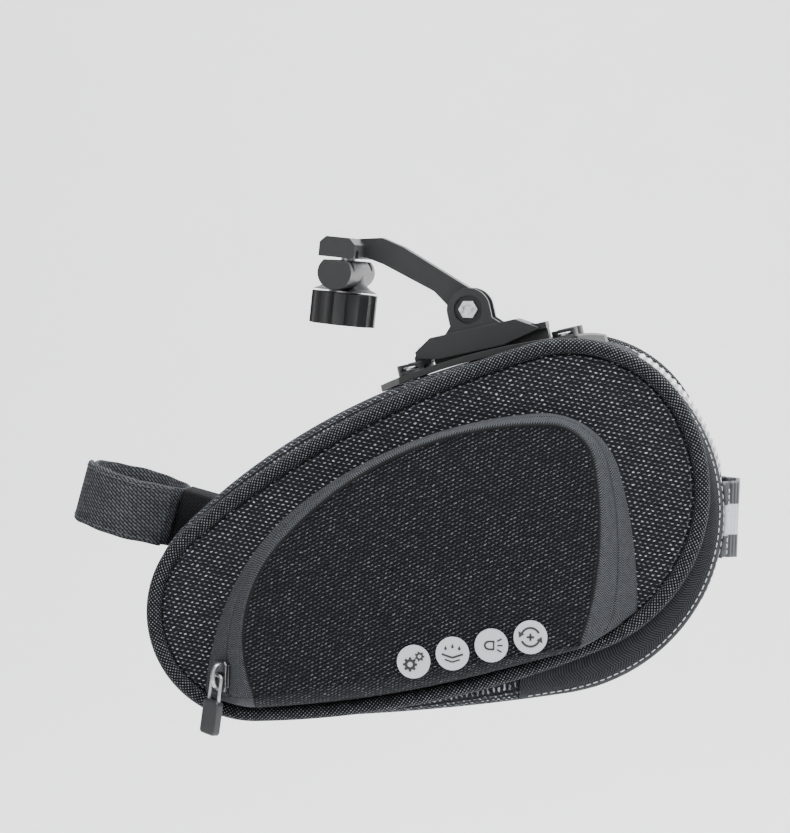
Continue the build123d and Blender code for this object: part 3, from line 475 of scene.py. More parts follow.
def run_length(points, closed=False):
    """Distance along points, starting at 0."""
    ends = np.vstack([points, points[:1]]) if closed else points
    return np.concatenate([[0.0], np.cumsum(np.linalg.norm(np.diff(ends, axis=0), axis=1))])


EDGE = bag_outline(REAR_CENTRE, REAR_R, CORNER_R, CORNER_TURN, NOSE_CENTRE, NOSE_R, TOP_R, BOTTOM_R)
CROWN = bag_outline(CROWN_REAR_CENTRE, CROWN_REAR_R, CROWN_CORNER_R, CROWN_CORNER_TURN,
                    CROWN_NOSE_CENTRE, CROWN_NOSE_R, CROWN_TOP_R, CROWN_BOTTOM_R)
EDGE_POINTS, EDGE_NORMALS = trace(EDGE, (110, 60, 130, 90, 110))
CROWN_POINTS, _ = trace(CROWN, (110, 60, 130, 90, 110))


def reach(outline, origin, direction):
    """Distance from a point inside a closed outline to the outline."""
    a = outline - origin
    b = np.roll(outline, -1, axis=0) - origin
    side_a = direction[0] * a[:, 1] - direction[1] * a[:, 0]
    side_b = direction[0] * b[:, 1] - direction[1] * b[:, 0]
    crossing = (side_a <= 0) != (side_b <= 0)
    share = side_a[crossing] / (side_a[crossing] - side_b[crossing])
    ahead = (a[crossing] + share[:, None] * (b[crossing] - a[crossing])) @ direction
    return ahead[ahead > 0].max()


def kept_inside(points, margin):
    """Moves points in the X-Z plane inwards until they lie a margin inside the piping's line."""
    moved = np.array(points, float)
    for i, point in enumerate(moved):
        nearest = np.argmin(np.linalg.norm(EDGE_POINTS - point, axis=1))
        over = (point - EDGE_POINTS[nearest]) @ EDGE_NORMALS[nearest] + margin
        moved[i] = point - max(over, 0) * EDGE_NORMALS[nearest]
    return moved


def stations(start, end, step=1.2):
    """Rays (origin, direction) across the fabric, from one angle to another.

    From FLAP_ANGLES up over the top they turn about the rear centre, run along to the nose
    centre, turn about it, and run back along the bottom."""
    rear, nose = np.array(CROWN_REAR_CENTRE), np.array(CROWN_NOSE_CENTRE)
    keys = [(rear, start, 0), (rear, end, CROWN_REAR_R)]
    if end > FLAP_ANGLES[1]:
        leave_rear, meet_nose, leave_nose = GUSSET_TURNS
        keys = [(rear, start, 0), (rear, leave_rear, 50), (nose, meet_nose, 95),
                (nose, leave_nose, CROWN_NOSE_R), (rear, end, 95)]
    rays = []
    for (from_o, from_a, _), (to_o, to_a, size) in zip(keys, keys[1:]):
        length = abs(radians(to_a - from_a)) * size + np.linalg.norm(to_o - from_o)
        for share in np.linspace(0, 1, max(2, round(length / step)), endpoint=False):
            rays.append((from_o + (to_o - from_o) * share, from_a + (to_a - from_a) * share))
    rays.append((keys[-1][0], end))
    return [(origin, np.array([cos(radians(a)), sin(radians(a))])) for origin, a in rays]


def crown_share(y):
    """1 where the fabric follows the crown's outline, 0 where it meets the piping."""
    return sqrt(max(0.0, 1 - (min(abs(y), SHELL_HALF) / SHELL_HALF) ** 7))


def shell(rays, ys, lift=0.0):
    """Points of the bag's fabric: a row for each ray and a column for each y."""
    rows = []
    for origin, direction in rays:
        edge, crown = (reach(outline, origin, direction) for outline in (EDGE_POINTS, CROWN_POINTS))
        edge -= 0.9
        distances = [edge + (crown - edge) * crown_share(y) + lift for y in ys]
        flat = [origin + direction * distance for distance in distances]
        rows.append([(x, y, z) for (x, z), y in zip(flat, ys)])
    return np.array(rows)


# ---- mesh building --------------------------------------------------------------------

def mesh_piece(name, points, faces, uvs, material, smooth=True):
    """A mesh object from millimetres. uvs holds one pair for each corner of each face."""
    mesh = bpy.data.meshes.new(name)
    mesh.from_pydata([tuple(p) for p in np.asarray(points, float) * MM], [], faces)
    layer = mesh.uv_layers.new(name="Weave")
    layer.data.foreach_set("uv", np.asarray(uvs, np.float32).ravel())
    mesh.materials.append(material)
    mesh.polygons.foreach_set("use_smooth", [smooth] * len(mesh.polygons))
    mesh.update()
    piece = bpy.data.objects.new(name, mesh)
    bpy.context.scene.collection.objects.link(piece)
    return piece


def sheet_piece(name, grid, material, u=None, v=None, uv=None, wrap=(False, False), thickness=0.0,
                flip=False):
    """A quad mesh over a grid of points, with its UV map in millimetres."""
    grid = np.asarray(grid, float)
    rows, columns = grid.shape[:2]
    if uv is None:
        uv = np.stack(np.meshgrid(u, v, indexing="ij"), axis=-1)
    faces, corners = [], []
    for i in range(rows if wrap[0] else rows - 1):
        for j in range(columns if wrap[1] else columns - 1):
            quad = [(i, j), (i + 1, j), (i + 1, j + 1), (i, j + 1)]
            if flip:
                quad.reverse()
            faces.append([(a % rows) * columns + b % columns for a, b in quad])
            corners += [uv[a % len(uv)][b % len(uv[0])] for a, b in quad]
    piece = mesh_piece(name, grid.reshape(-1, 3), faces, corners, material)
    if thickness:
        solid = piece.modifiers.new("Thickness", "SOLIDIFY")
        solid.thickness = thickness * MM
        solid.offset = -1
        solid.use_even_offset = False
    return piece


def tube(name, path, radius, material, closed=False, sides=14, flat=1.0, binormal=(0, 1, 0)):
    """A round or flattened tube along a path whose bends lie across the binormal."""
    path = np.asarray(path, float)
    ahead = np.roll(path, -1, axis=0) - np.roll(path, 1, axis=0)
    if not closed:
        ahead[0], ahead[-1] = path[1] - path[0], path[-1] - path[-2]
    ahead /= np.linalg.norm(ahead, axis=1)[:, None]
    side = np.array(binormal, float)
    normal = np.cross(ahead, side)
    normal /= np.linalg.norm(normal, axis=1)[:, None]
    side = np.cross(normal, ahead)
    turns = np.linspace(0, 2 * pi, sides, endpoint=False)
    across, along = np.cos(turns)[None, :, None], np.sin(turns)[None, :, None]
    ring = normal[:, None] * across + side[:, None] * along * flat
    around = np.linspace(0, 2 * pi * radius, sides + 1)
    made = sheet_piece(name, path[:, None] + ring * radius, material, run_length(path, closed), around,
                       wrap=(closed, True))
    if not closed:
        cap_ends(made, len(path), sides)
    return made


def face_outwards(piece):
    """Turns the faces of a closed piece outwards."""
    bm = bmesh.new()
    bm.from_mesh(piece.data)
    bmesh.ops.recalc_face_normals(bm, faces=bm.faces)
    bm.to_mesh(piece.data)
    bm.free()


def cap_ends(piece, rows, columns):
    """Closes the two ends of a tube made row by row."""
    bm = bmesh.new()
    bm.from_mesh(piece.data)
    bm.verts.ensure_lookup_table()
    for start in (0, (rows - 1) * columns):
        bm.faces.new([bm.verts[start + k] for k in range(columns)])
    bmesh.ops.recalc_face_normals(bm, faces=bm.faces)
    bm.to_mesh(piece.data)
    bm.free()


def place_copies(name, pattern, places, material):
    """Many copies of a small pattern (points, faces) in one mesh. A place is (origin, x, y, z)."""
    shape, faces = pattern
    points, all_faces = [], []
    for origin, x, y, z in places:
        base = len(points)
        points += list(np.array(origin) + shape @ np.array([x, y, z]))
        all_faces += [[base + k for k in face] for face in faces]
    points = np.array(points)
    uvs = [(points[k][0], points[k][2]) for face in all_faces for k in face]
    return mesh_piece(name, points, all_faces, uvs, material)


def bead(length, width, height, sides=6, rings=4):
    """A long rounded bead along X, like one stitch of thread."""
    points = [(-length / 2, 0, 0)]
    for i in range(1, rings + 1):
        t = pi * i / (rings + 1)
        for k in range(sides):
            a = 2 * pi * k / sides
            points.append((-cos(t) * length / 2, sin(t) ** 0.6 * cos(a) * width / 2,
                           sin(t) ** 0.6 * sin(a) * height / 2))
    points.append((length / 2, 0, 0))
    last = len(points) - 1
    faces = [[0, 1 + (k + 1) % sides, 1 + k] for k in range(sides)]
    for i in range(rings - 1):
        for k in range(sides):
            a, b = 1 + i * sides + k, 1 + i * sides + (k + 1) % sides
            faces.append([a, b, b + sides, a + sides])
    start = 1 + (rings - 1) * sides
    faces += [[start + k, start + (k + 1) % sides, last] for k in range(sides)]
    return np.array(points), faces


def unit(v):
    v = np.asarray(v, float)
    return v / np.linalg.norm(v)


def between(rows, run, s):
    """The value of rows, given at distances run, at a distance s."""
    rows = np.asarray(rows, float)
    return np.array([np.interp(s, run, rows[:, k]) for k in range(3)])


def stitches(name, path, up, material, pitch=2.6, length=1.9, thread=0.42):
    """A row of stitches along a path on a surface whose outward directions are given."""
    near = 0.6
    run = run_length(path)
    places = []
    for s in np.arange(pitch / 2, run[-1], pitch):
        at, z = between(path, run, s), unit(between(up, run, s))
        x = unit(between(path, run, s + near) - between(path, run, s - near))
        y = unit(np.cross(z, x))
        places.append((at + z * thread * 0.2, x, y, np.cross(x, y)))
    return place_copies(name, bead(length, thread, thread * 0.9), places, material)


def prism(name, outline, thickness, axes, material, bevel=0.0, segments=2):
    """A plate from an outline in a frame (origin, x, y, z), with rounded edges."""
    origin, x, y, z = (np.array(v, float) for v in axes)
    count = len(outline)
    points = [origin + x * a + y * b + z * h for h in (0, thickness) for a, b in outline]
    faces = [list(range(count))[::-1], [count + k for k in range(count)]]
    faces += [[k, (k + 1) % count, count + (k + 1) % count, count + k] for k in range(count)]
    uvs = [(outline[k % count][0], outline[k % count][1]) for face in faces for k in face]
    piece = mesh_piece(name, points, faces, uvs, material, smooth=False)
    face_outwards(piece)
    if bevel:
        rounding = piece.modifiers.new("Rounding", "BEVEL")
        rounding.width = bevel * MM
        rounding.segments = segments
        rounding.limit_method = "ANGLE"
        rounding.angle_limit = radians(35)
    return piece


def ride(piece, body, slot, *nodes):
    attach(piece, body)
    if nodes:
        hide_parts(*nodes)
    return piece


# ---- materials in use -----------------------------------------------------------------

SHELL_GROUND, SHELL_FLECK = (0.0018, 0.0020, 0.0026), (0.48, 0.51, 0.57)
POCKET_FLECK = (0.145, 0.153, 0.170)
side_cloth = knitted_mesh("SideMesh", (1.75, 1.35), -12, (0.52, 0.24), SHELL_FLECK, SHELL_GROUND, 0.25)
pocket_cloth = knitted_mesh("PocketMesh", (1.45, 1.15), 27, (0.62, 0.19), POCKET_FLECK, SHELL_GROUND)
gusset_cloth = knitted_mesh("GussetMesh", (1.75, 1.35), 0, (0.52, 0.24), SHELL_FLECK, SHELL_GROUND, 0.25)
piping_cloth = woven_cover("PipingWeave")
tape_cloth = herringbone("ZipperTape")
rear_tape_cloth = herringbone("RearTape", light=(0.040, 0.042, 0.046))
coil_plastic = coil_nylon("CoilNylon")
rib_tape = reflective_ribs("ReflectiveRibs")
badge_film = reflective_film("ReflectiveFilm")
loop_cloth = banded_webbing("BandedWebbing")
light_thread = sewing_thread("LightThread", 0.62)
dark_thread = sewing_thread("DarkThread", 0.06)
binding_cloth = plain_cloth("Binding", 0.05, 0.8)
net_cloth = open_net("OpenNet")
dark_binding = plain_cloth("DarkBinding", 0.012, 0.7)
loop_nap = twill("LoopNap", (0.0018, 0.002, 0.0024), (0.090, 0.094, 0.102), pitch=0.9)
hook_nap = twill("HookNap", (0.002, 0.002, 0.0023), (0.008, 0.008, 0.009), 0.9, 60)
nylon = moulded_nylon("Nylon")
fine_nylon = moulded_nylon("FineNylon", 0.0075, 10.0, 0.34)
rubber = moulded_rubber("GripRubber")
bright_steel = machined_steel("BrightSteel", 0.66)
black_metal = painted_metal("PlatedZinc")
worn_metal = machined_steel("WornZinc", 0.42, 0.3)
icon_ink = Paint("IconInk", roughness=0.45)
icon_tone = icon_ink.mix(icon_ink.noise(3.0), (0.012,) * 3, (0.03,) * 3)
icon_black = icon_ink.finish(icon_tone, icon_ink.noise(6.0), 0.02)


# ---- side panels and piping -----------------------------------------------------------

def at_depth(flat, y):
    """Points of the X-Z plane moved to one y."""
    return np.column_stack([flat[:, 0], np.full(len(flat), y), flat[:, 1]])


def side_panel(side, name, node):
    """A moulded panel: its rim dips into the groove beside the piping, and its middle is domed."""
    rim_inset, rim_width, rim_depth, dome = 2.0, 2.6, 1.5, 1.1
    rim = EDGE_POINTS - EDGE_NORMALS * rim_inset
    rear, nose = np.array(REAR_CENTRE), np.array(NOSE_CENTRE)
    line = nose - rear
    share = np.clip(((rim - rear) @ line) / (line @ line), 0, 1)
    middle = rear + share[:, None] * line
    depths = np.concatenate([np.linspace(0, 0.12, 9)[:-1], np.linspace(0.12, 0.999, 22)])
    rows = []
    for depth in depths:
        flat = rim + (middle - rim) * depth
        inward = np.linalg.norm(flat - rim, axis=1)
        groove = 1 - np.clip(inward / rim_width, 0, 1)
        y = PANEL_Y + dome * (1 - (1 - depth) ** 2) - rim_depth * groove ** 2
        rows.append(np.column_stack([flat[:, 0], side * y, flat[:, 1]]))
    grid = np.array(rows)
    piece = sheet_piece(name, grid, side_cloth, uv=grid[:, :, (0, 2)], wrap=(False, True), thickness=FABRIC,
                        flip=side < 0)
    return ride(piece, "bag", "shell_mesh", node)


def piping_tube(side, name, node):
    path = at_depth(EDGE_POINTS, side * PIPING_Y)
    return ride(tube(name, path, PIPING_R, piping_cloth, closed=True, sides=20), "bag", "piping", node)


def piping_seam(side, name):
    """Stitches in the groove between a side panel and its piping."""
    flat = EDGE_POINTS - EDGE_NORMALS * 3.6
    path = at_depth(flat, side * (PANEL_Y - 0.35))
    up = np.tile([0, side, 0], (len(flat), 1))
    return ride(stitches(name, path, up, dark_thread, pitch=3.0, length=2.2, thread=0.4), "bag", "piping")


for side, word in ((-1, "left"), (1, "right")):
    side_panel(side, f"side_panel_{word}", f"{word}_side_panel")
    piping_tube(side, f"piping_{word}", f"{word}_piping")
    piping_seam(side, f"piping_seam_{word}")


# ---- gusset and rear flap -------------------------------------------------------------

def columns(low, high, step=1.4):
    return np.linspace(low, high, max(2, round((high - low) / step) + 1))


def fabric_strip(name, rays, ys, material, body, slot, nodes=(), lift=0.0, thickness=FABRIC):
    grid = shell(rays, ys, lift)
    middle = grid[:, len(ys) // 2]
    piece = sheet_piece(name, grid, material, run_length(middle), ys, thickness=thickness, flip=True)
    return ride(piece, body, slot, *nodes)


GUSSET_GAP = 0.25                   # degrees between the gusset's end and the rear flap
gusset_rays = stations(FLAP_ANGLES[1] + GUSSET_GAP, 360 + FLAP_ANGLES[0] - GUSSET_GAP)
flap_rays = stations(*FLAP_ANGLES)
fabric_strip("gusset_fabric", gusset_rays, columns(-SHELL_HALF, SHELL_HALF), gusset_cloth, "bag",
             "shell_mesh", ["gusset"])
flap_edge = ZIP_Y - TAPE_WIDTH
fabric_strip("flap_fabric", flap_rays, columns(-flap_edge, flap_edge), gusset_cloth, "flap", "shell_mesh",
             ["rear_flap"])


def joined(name, pieces):
    """One piece from several."""
    bpy.ops.object.select_all(action="DESELECT")
    for piece in pieces:
        piece.select_set(True)
    bpy.context.view_layer.objects.active = pieces[0]
    bpy.ops.object.join()
    pieces[0].name = name
    return pieces[0]


def tape_pair(name, low, high, body, nodes, lift=0.0):
    """The same stretch of tape on both sides of the bag."""
    made = []
    for sign in (-1, 1):
        ys = columns(min(sign * low, sign * high), max(sign * low, sign * high), 1.0)
        grid = shell(flap_rays, ys, lift)
        made.append(sheet_piece(name, grid, rear_tape_cloth, run_length(grid[:, 0]), ys, thickness=1.2,
                                flip=True))
    return ride(joined(name, made), body, "zipper_tape", *nodes)


tape_pair("rear_tape_body", ZIP_Y + SLIT, SHELL_HALF, "bag", ["zipper_tape_body"])
tape_pair("rear_tape_flap", flap_edge, ZIP_Y - SLIT, "flap", ["zipper_tape_flap"])


def shell_line(rays, y, lift=0.0):
    """A line along the fabric, and the outward directions there."""
    path = shell(rays, [y], lift)[:, 0]
    up = [(d[0], 0, d[1]) for _, d in rays]
    return path, np.array(up)


def coil_rows(name, centre_y, body, node):
    """Coil teeth under the tape, on both sides of the bag."""
    places = []
    pitch, depth = 1.35, 2.6
    for sign in (-1, 1):
        path, up = shell_line(stations(FLAP_ANGLES[0] + 6, 58.0), sign * centre_y, -depth)
        run = run_length(path)
        for s in np.arange(0, run[-1], pitch):
            z = unit(between(up, run, s))
            places.append((between(path, run, s), (0, 1, 0), np.cross(z, (0, 1, 0)), z))
    piece = place_copies(name, bead(2.1, 0.95, 1.3, 7, 4), places, coil_plastic)
    return ride(piece, body, "zipper_coil", node)


coil_rows("coil_body", ZIP_Y + 1.25, "bag", "zipper_coil_body")
coil_rows("coil_flap", ZIP_Y - 1.25, "flap", "zipper_coil_flap")


def ribbed_strip():
    """Reflective tape on the flap: ribs across it, a smooth hem at its lower end."""
    rays = stations(*STRIP_ANGLES, step=0.35)
    ys = columns(-STRIP_HALF, STRIP_HALF, 1.0)
    grid = shell(rays, ys, 0.75)
    run = run_length(grid[:, len(ys) // 2])
    hem = 6.0
    rise = 0.22 * np.sin(run / RIB_PITCH * 2 * pi) * (run > hem)
    for i, (_, direction) in enumerate(rays):
        grid[i, 1:-1, 0] += direction[0] * rise[i]
        grid[i, 1:-1, 2] += direction[1] * rise[i]
        grid[i, (0, -1), 0] -= direction[0] * 0.5
        grid[i, (0, -1), 2] -= direction[1] * 0.5
    piece = sheet_piece("reflective_tape", grid, rib_tape, run, ys, thickness=0.7, flip=True)
    return ride(piece, "flap", "reflective", "reflective_strip")


ribbed_strip()
inner_seam, outer_seam = FLAP_SEAMS
for index, y in enumerate((-outer_seam, -inner_seam, inner_seam, outer_seam)):
    path, up = shell_line(stations(-28.0, 62.0), y)
    ride(stitches(f"flap_stitches_{index}", path, up, light_thread), "flap", "webbing")
for index, y in enumerate((-TAPE_SEAM, TAPE_SEAM)):
    path, up = shell_line(stations(-93.0, 64.0), y)
    ride(stitches(f"tape_stitches_{index}", path, up, light_thread, pitch=2.4, length=1.7), "bag", "webbing")
for index, y in enumerate((-GUSSET_SEAM, GUSSET_SEAM)):
    path, up = shell_line(gusset_rays, y)
    ride(stitches(f"gusset_stitches_{index}", path, up, dark_thread, pitch=2.8), "bag", "piping")


def light_loop():
    """Webbing sewn down at both ends, standing off the flap in a flat arch."""
    foot, crest, sewn_down = LOOP_HALF - 4.5, LOOP_HALF - 8.5, 1.4
    x, z = polar(CROWN_REAR_CENTRE, CROWN_REAR_R, LOOP_ANGLE)
    out = unit((cos(radians(LOOP_ANGLE)), 0, sin(radians(LOOP_ANGLE))))
    up = unit((-out[2], 0, out[0]))
    ys = columns(-LOOP_HALF, LOOP_HALF, 0.6)
    climbed = [np.clip((foot - abs(y)) / (foot - crest), 0, 1) for y in ys]
    rise = [sewn_down + (LOOP_STAND - 1.5) * (0.5 - 0.5 * cos(pi * share)) for share in climbed]
    heights = np.linspace(-LOOP_HEIGHT / 2, LOOP_HEIGHT / 2, 22)
    grid = []
    for h in heights:
        sag = CROWN_REAR_R - sqrt(CROWN_REAR_R ** 2 - h ** 2)
        grid.append([np.array((x, y, z)) + up * h + out * (r - sag * (r < 2.2)) for y, r in zip(ys, rise)])
    piece = sheet_piece("light_webbing", grid, loop_cloth, uv=np.stack(np.meshgrid(ys, heights), axis=-1),
                        thickness=1.3, flip=True)
    ride(piece, "flap", "webbing", "light_loop")
    for index, y in enumerate((-12.9, 12.9)):
        path = [np.array((x, y, z)) + up * h + out * sewn_down for h in np.linspace(-11.5, 11.5, 12)]
        row = stitches(f"loop_stitches_{index}", path, [out] * 12, light_thread, pitch=2.0, length=1.4)
        ride(row, "flap", "webbing")


light_loop()


# ---- net pocket inside ----------------------------------------------------------------

def net_pocket():
    """A flat net against the right panel, with a bound top edge."""
    top_z, y = -85.0, PIPING_Y - PIPING_R - 1.2
    xs = np.linspace(-52, 104, 70)
    rows = []
    for share in np.linspace(0, 1, 16):
        flat = []
        for x in xs:
            above = (EDGE_POINTS[:, 1] > top_z) * FAR
            low = EDGE_POINTS[np.argmin(np.abs(EDGE_POINTS[:, 0] - x) + above), 1]
            flat.append((x, low + 11 + (top_z - low - 11) * share))
        flat = kept_inside(flat, 12)
        rows.append([(a, y - 0.6 * sin(pi * share), b) for a, b in flat])
    grid = np.array(rows)
    ride(sheet_piece("net_pocket", grid, net_cloth, uv=grid[:, :, (0, 2)], thickness=0.35), "bag", "lining",
         "inner_mesh_pocket")
    ride(tube("net_binding", grid[-1], 1.1, binding_cloth, sides=8), "bag", "lining")


net_pocket()


# ---- side pocket ----------------------------------------------------------------------

POCKET_COUNTS = (30, 26, 60, 90)
TAPE_PUFF = 0.45                    # how far the zipper tape is domed, in millimetres
TAPE_TOP, TURN_START, TURN_DEPTH = 0.985, 0.93, 0.9
SLIT_SHARE, SLIT_REACH, SLIT_DIP = 0.006, 0.04, 0.14
SEAM_DROP = 12                      # further down than the piping is from the seam
FRONT_MARGIN = 1.5                  # from the front's edge to the piping's line
SILL_OVERLAP = 0.5


def pocket_depth(z):
    return POCKET_TOP_DEPTH + (POCKET_TOP_Z - z) * POCKET_DEEPENING


def pocket_point(share, x, v, out=0.0):
    """A point on the pocket's plane of a share (0 base, 1 front), raised by out."""
    slope = atan2(share * POCKET_DEEPENING, 1)
    y = -(POCKET_SIDE_Y + share * pocket_depth(0))
    return np.array((x, y + v * sin(slope) - out * cos(slope), v * cos(slope) + out * sin(slope)))


def pocket_edge(outline):
    arcs = pocket_arcs(outline)
    points, normals = trace(arcs, POCKET_COUNTS)
    centre, radius, _, end = arcs[-1]
    return (np.vstack([points, polar(centre, radius, end)]),
            np.vstack([normals, [cos(radians(end)), sin(radians(end))]]))


BASE_EDGE, _ = pocket_edge(POCKET_BASE)
FRONT_EDGE, FRONT_NORMALS = pocket_edge(POCKET_FRONT)


def tape_dome(share):
    """How far the tape stands out: domed, and turned in where it meets the front panel."""
    turned = max(0.0, share - TURN_START) / (TAPE_TOP - TURN_START)
    return TAPE_PUFF * sin(pi * share) - TURN_DEPTH * turned ** 2


def wall_point(i, share, out=0.0):
    """A point on the zipper wall: share 0 at the side panel, 1 at the pocket's front."""
    flat = kept_inside([BASE_EDGE[i]], PIPING_R + 0.1)[0]
    low = pocket_point(0, *flat)
    high = pocket_point(1, *kept_inside([FRONT_EDGE[i]], FRONT_MARGIN)[0])
    lean = unit(high - low)
    along = FRONT_EDGE[min(i + 1, len(FRONT_EDGE) - 1)] - FRONT_EDGE[max(i - 1, 0)]
    normal = unit(np.cross((along[0], 0, along[1]), lean))
    if normal @ (FRONT_NORMALS[i][0], 0, FRONT_NORMALS[i][1]) < 0:
        normal = -normal
    return low + (high - low) * share + normal * out


def wall_strip(name, rows, low, high, body, nodes):
    """One half of the zipper wall: tape with a rolled edge at the slit."""
    shares = np.linspace(low, high, 9)
    grid = []
    for i in rows:
        line = []
        for share in shares:
            near = min(abs(share - 0.5), SLIT_REACH) / SLIT_REACH
            line.append(wall_point(i, share, tape_dome(share) - SLIT_DIP * (1 - near) ** 2))
        grid.append(line)
    grid = np.array(grid)
    width = np.linalg.norm(grid[:, 0] - grid[:, -1], axis=1)
    run = run_length(grid[:, 4])
    uv = np.array([[(at, share * wide) for share in np.linspace(0, 1, 9)] for at, wide in zip(run, width)])
    return ride(sheet_piece(name, grid, tape_cloth, uv=uv, thickness=1.5), body, "zipper_tape", *nodes)


slit_centre = tuple((a + b) / 2 for a, b in zip(POCKET_BASE[4], POCKET_FRONT[4]))
slit_radius = (POCKET_BASE[5] + POCKET_FRONT[5]) / 2
from_centre = FRONT_EDGE - POCKET_FRONT[4]
front_turns = np.degrees(np.arctan2(from_centre[:, 1], from_centre[:, 0])) % 360
front_turns[:sum(POCKET_COUNTS[:3]) + 1] = 0
sewn_from = int(np.argmax(front_turns > SLIDER_ANGLE - SEWN_ANGLE))
every = range(len(FRONT_EDGE))
wall_strip("pocket_tape_lower", every, 0.0, 0.5 - SLIT_SHARE, "bag", ["pocket_tape_inner"])
wall_strip("pocket_tape_upper", range(0, sewn_from), 0.5 + SLIT_SHARE, TAPE_TOP, "pocket",
           ["pocket_tape_outer"])
wall_strip("pocket_tape_sewn", range(sewn_from - 1, len(FRONT_EDGE)), 0.5 + SLIT_SHARE, TAPE_TOP, "bag",
           ["pocket_tape_end"])


def pocket_foot(name, end, forward):
    """A lower end of the tape, from the seam down to the piping."""
    shares = np.linspace(0.0, TAPE_TOP, 14)
    bulge = np.array((-0.5 if forward else 0.5, -1, -1)) * 0.11
    rows = []
    for share in shares:
        top = wall_point(end, share, tape_dome(share))
        flat = kept_inside([(top[0], top[2] - SEAM_DROP)], PIPING_R + 0.2)[0]
        foot = np.array((flat[0], -(POCKET_SIDE_Y - 0.4), flat[1]))
        size = np.linalg.norm(foot - top)
        rows.append([top + (foot - top) * t + bulge * size * sin(pi * t) for t in np.linspace(0, 1, 9)])
    grid = np.array(rows)
    down = run_length(grid[-1])
    uv = [[(run, share * 13.0) for run in down] for share in shares]
    piece = sheet_piece(name, grid, tape_cloth, uv=uv, thickness=1.2, flip=forward)
    return ride(piece, "bag", "zipper_tape")


pocket_foot("pocket_foot_front", len(FRONT_EDGE) - 1, True)
pocket_foot("pocket_foot_rear", 0, False)


def pocket_front():
    """The front panel: a rolled rim along the zipper, a slight dome, and a straight seam below."""
    seam = np.linspace(FRONT_EDGE[-1], FRONT_EDGE[0], 60)[1:-1]
    rim = kept_inside(np.vstack([FRONT_EDGE, seam]), FRONT_MARGIN)
    on_seam = np.arange(len(rim)) >= len(FRONT_EDGE)
    middle = rim.mean(axis=0)
    roll, inset, dome = 1.3, 0.25, 0.9
    rows, flats = [], []
    for depth in np.concatenate([[0.0, 0.008, 0.016, 0.026, 0.04, 0.06], np.linspace(0.09, 0.995, 24)]):
        flat = rim + (middle - rim) * depth
        inward = np.linalg.norm(flat - rim, axis=1)
        turned = np.clip(1 - inward / roll, 0, 1)
        rolled = roll * (1 - np.sqrt(1 - turned ** 2 * 0.98))
        out = dome * (1 - (1 - depth) ** 2) - np.where(on_seam, 0.0, rolled)
        rows.append([pocket_point(1, x, v, o - inset) for (x, v), o in zip(flat, out)])
        flats.append(flat)
    piece = sheet_piece("pocket_front", rows, pocket_cloth, uv=np.array(flats), wrap=(False, True),
                        thickness=1.6, flip=True)
    return ride(piece, "pocket", "shell_mesh", "pocket_panel")


pocket_front()


def pocket_rim():
    """A fine rolled seam between the front panel and the zipper wall."""
    path = [wall_point(i, TAPE_TOP, -0.95) for i in every]
    return ride(tube("pocket_rim", path, 0.55, dark_binding, sides=8), "pocket", "piping")


pocket_rim()


def pocket_sill():
    """The pocket's bottom, from the front panel's seam down to the piping."""
    rows = []
    front, rear = (kept_inside([FRONT_EDGE[i]], FRONT_MARGIN)[0][0] for i in (-1, 0))
    xs = np.linspace(front - SILL_OVERLAP, rear + SILL_OVERLAP, 90)
    for x in xs:
        seam_v = SEAM_POINT[1] + (x - SEAM_POINT[0]) * tan(radians(SEAM_TURN))
        top = pocket_point(1, x, seam_v, -0.25)
        foot_flat = kept_inside([(x, seam_v - SEAM_DROP)], PIPING_R + 0.2)[0]
        foot = np.array((foot_flat[0], -(POCKET_SIDE_Y - 0.4), foot_flat[1]))
        line = []
        for share in np.linspace(0, 1, 12):
            bulge = 0.11 * sin(pi * share) * np.linalg.norm(foot - top)
            line.append(top + (foot - top) * share + np.array((0, -1, -1)) * bulge)
        rows.append(line)
    grid = np.array(rows)
    down = run_length(grid[len(grid) // 2])
    piece = sheet_piece("pocket_sill", grid, pocket_cloth, xs, -down - 140.0, thickness=1.2, flip=True)
    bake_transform(piece)
    return piece


pocket_sill()


# ---- badges ---------------------------------------------------------------------------

def hoop(centre, outer, inner, start=0.0, end=360.0, count=28):
    """A flat band round a centre, as an outline; a gap is left when it isn't a full turn."""
    turns = np.radians(np.linspace(start, end, count))
    out = [(centre[0] + outer * cos(t), centre[1] + outer * sin(t)) for t in turns]
    back = [(centre[0] + inner * cos(t), centre[1] + inner * sin(t)) for t in turns[::-1]]
    return out + back


def bar(start, end, width):
    """A straight mark between two points."""
    (x1, y1), (x2, y2) = start, end
    length = hypot(x2 - x1, y2 - y1)
    nx, ny = -(y2 - y1) / length * width / 2, (x2 - x1) / length * width / 2
    return [(x1 - nx, y1 - ny), (x2 - nx, y2 - ny), (x2 + nx, y2 + ny), (x1 + nx, y1 + ny)]


def cog(centre, radius, teeth):
    """A toothed wheel with a hole: a band and its teeth."""
    marks = [hoop(centre, radius * 0.76, radius * 0.36, 0, 359.9)]
    for k in range(teeth):
        turn = 2 * pi * k / teeth
        a = (centre[0] + radius * 0.6 * cos(turn), centre[1] + radius * 0.6 * sin(turn))
        b = (centre[0] + radius * cos(turn), centre[1] + radius * sin(turn))
        marks.append(bar(a, b, radius * 0.36))
    return marks


def drop(centre, size):
    x, y = centre
    turns = np.linspace(-pi * 1.15, pi * 0.15, 12)
    return [(x + size * 0.5 * cos(t), y - size * 0.2 + size * 0.5 * sin(t)) for t in turns] + [(x, y + size)]


def rain():
    """Drops over two bent layers of cloth."""
    drops = [drop(centre, 0.9) for centre in ((-2.2, 1.7), (0.0, 2.3), (2.2, 1.7))]
    for half, low, top, width in ((3.4, -1.3, -0.2, 0.65), (2.4, -2.7, -1.9, 0.5)):
        drops += [bar((-half, top), (0.0, low), width), bar((0.0, low), (half, top), width)]
    return drops


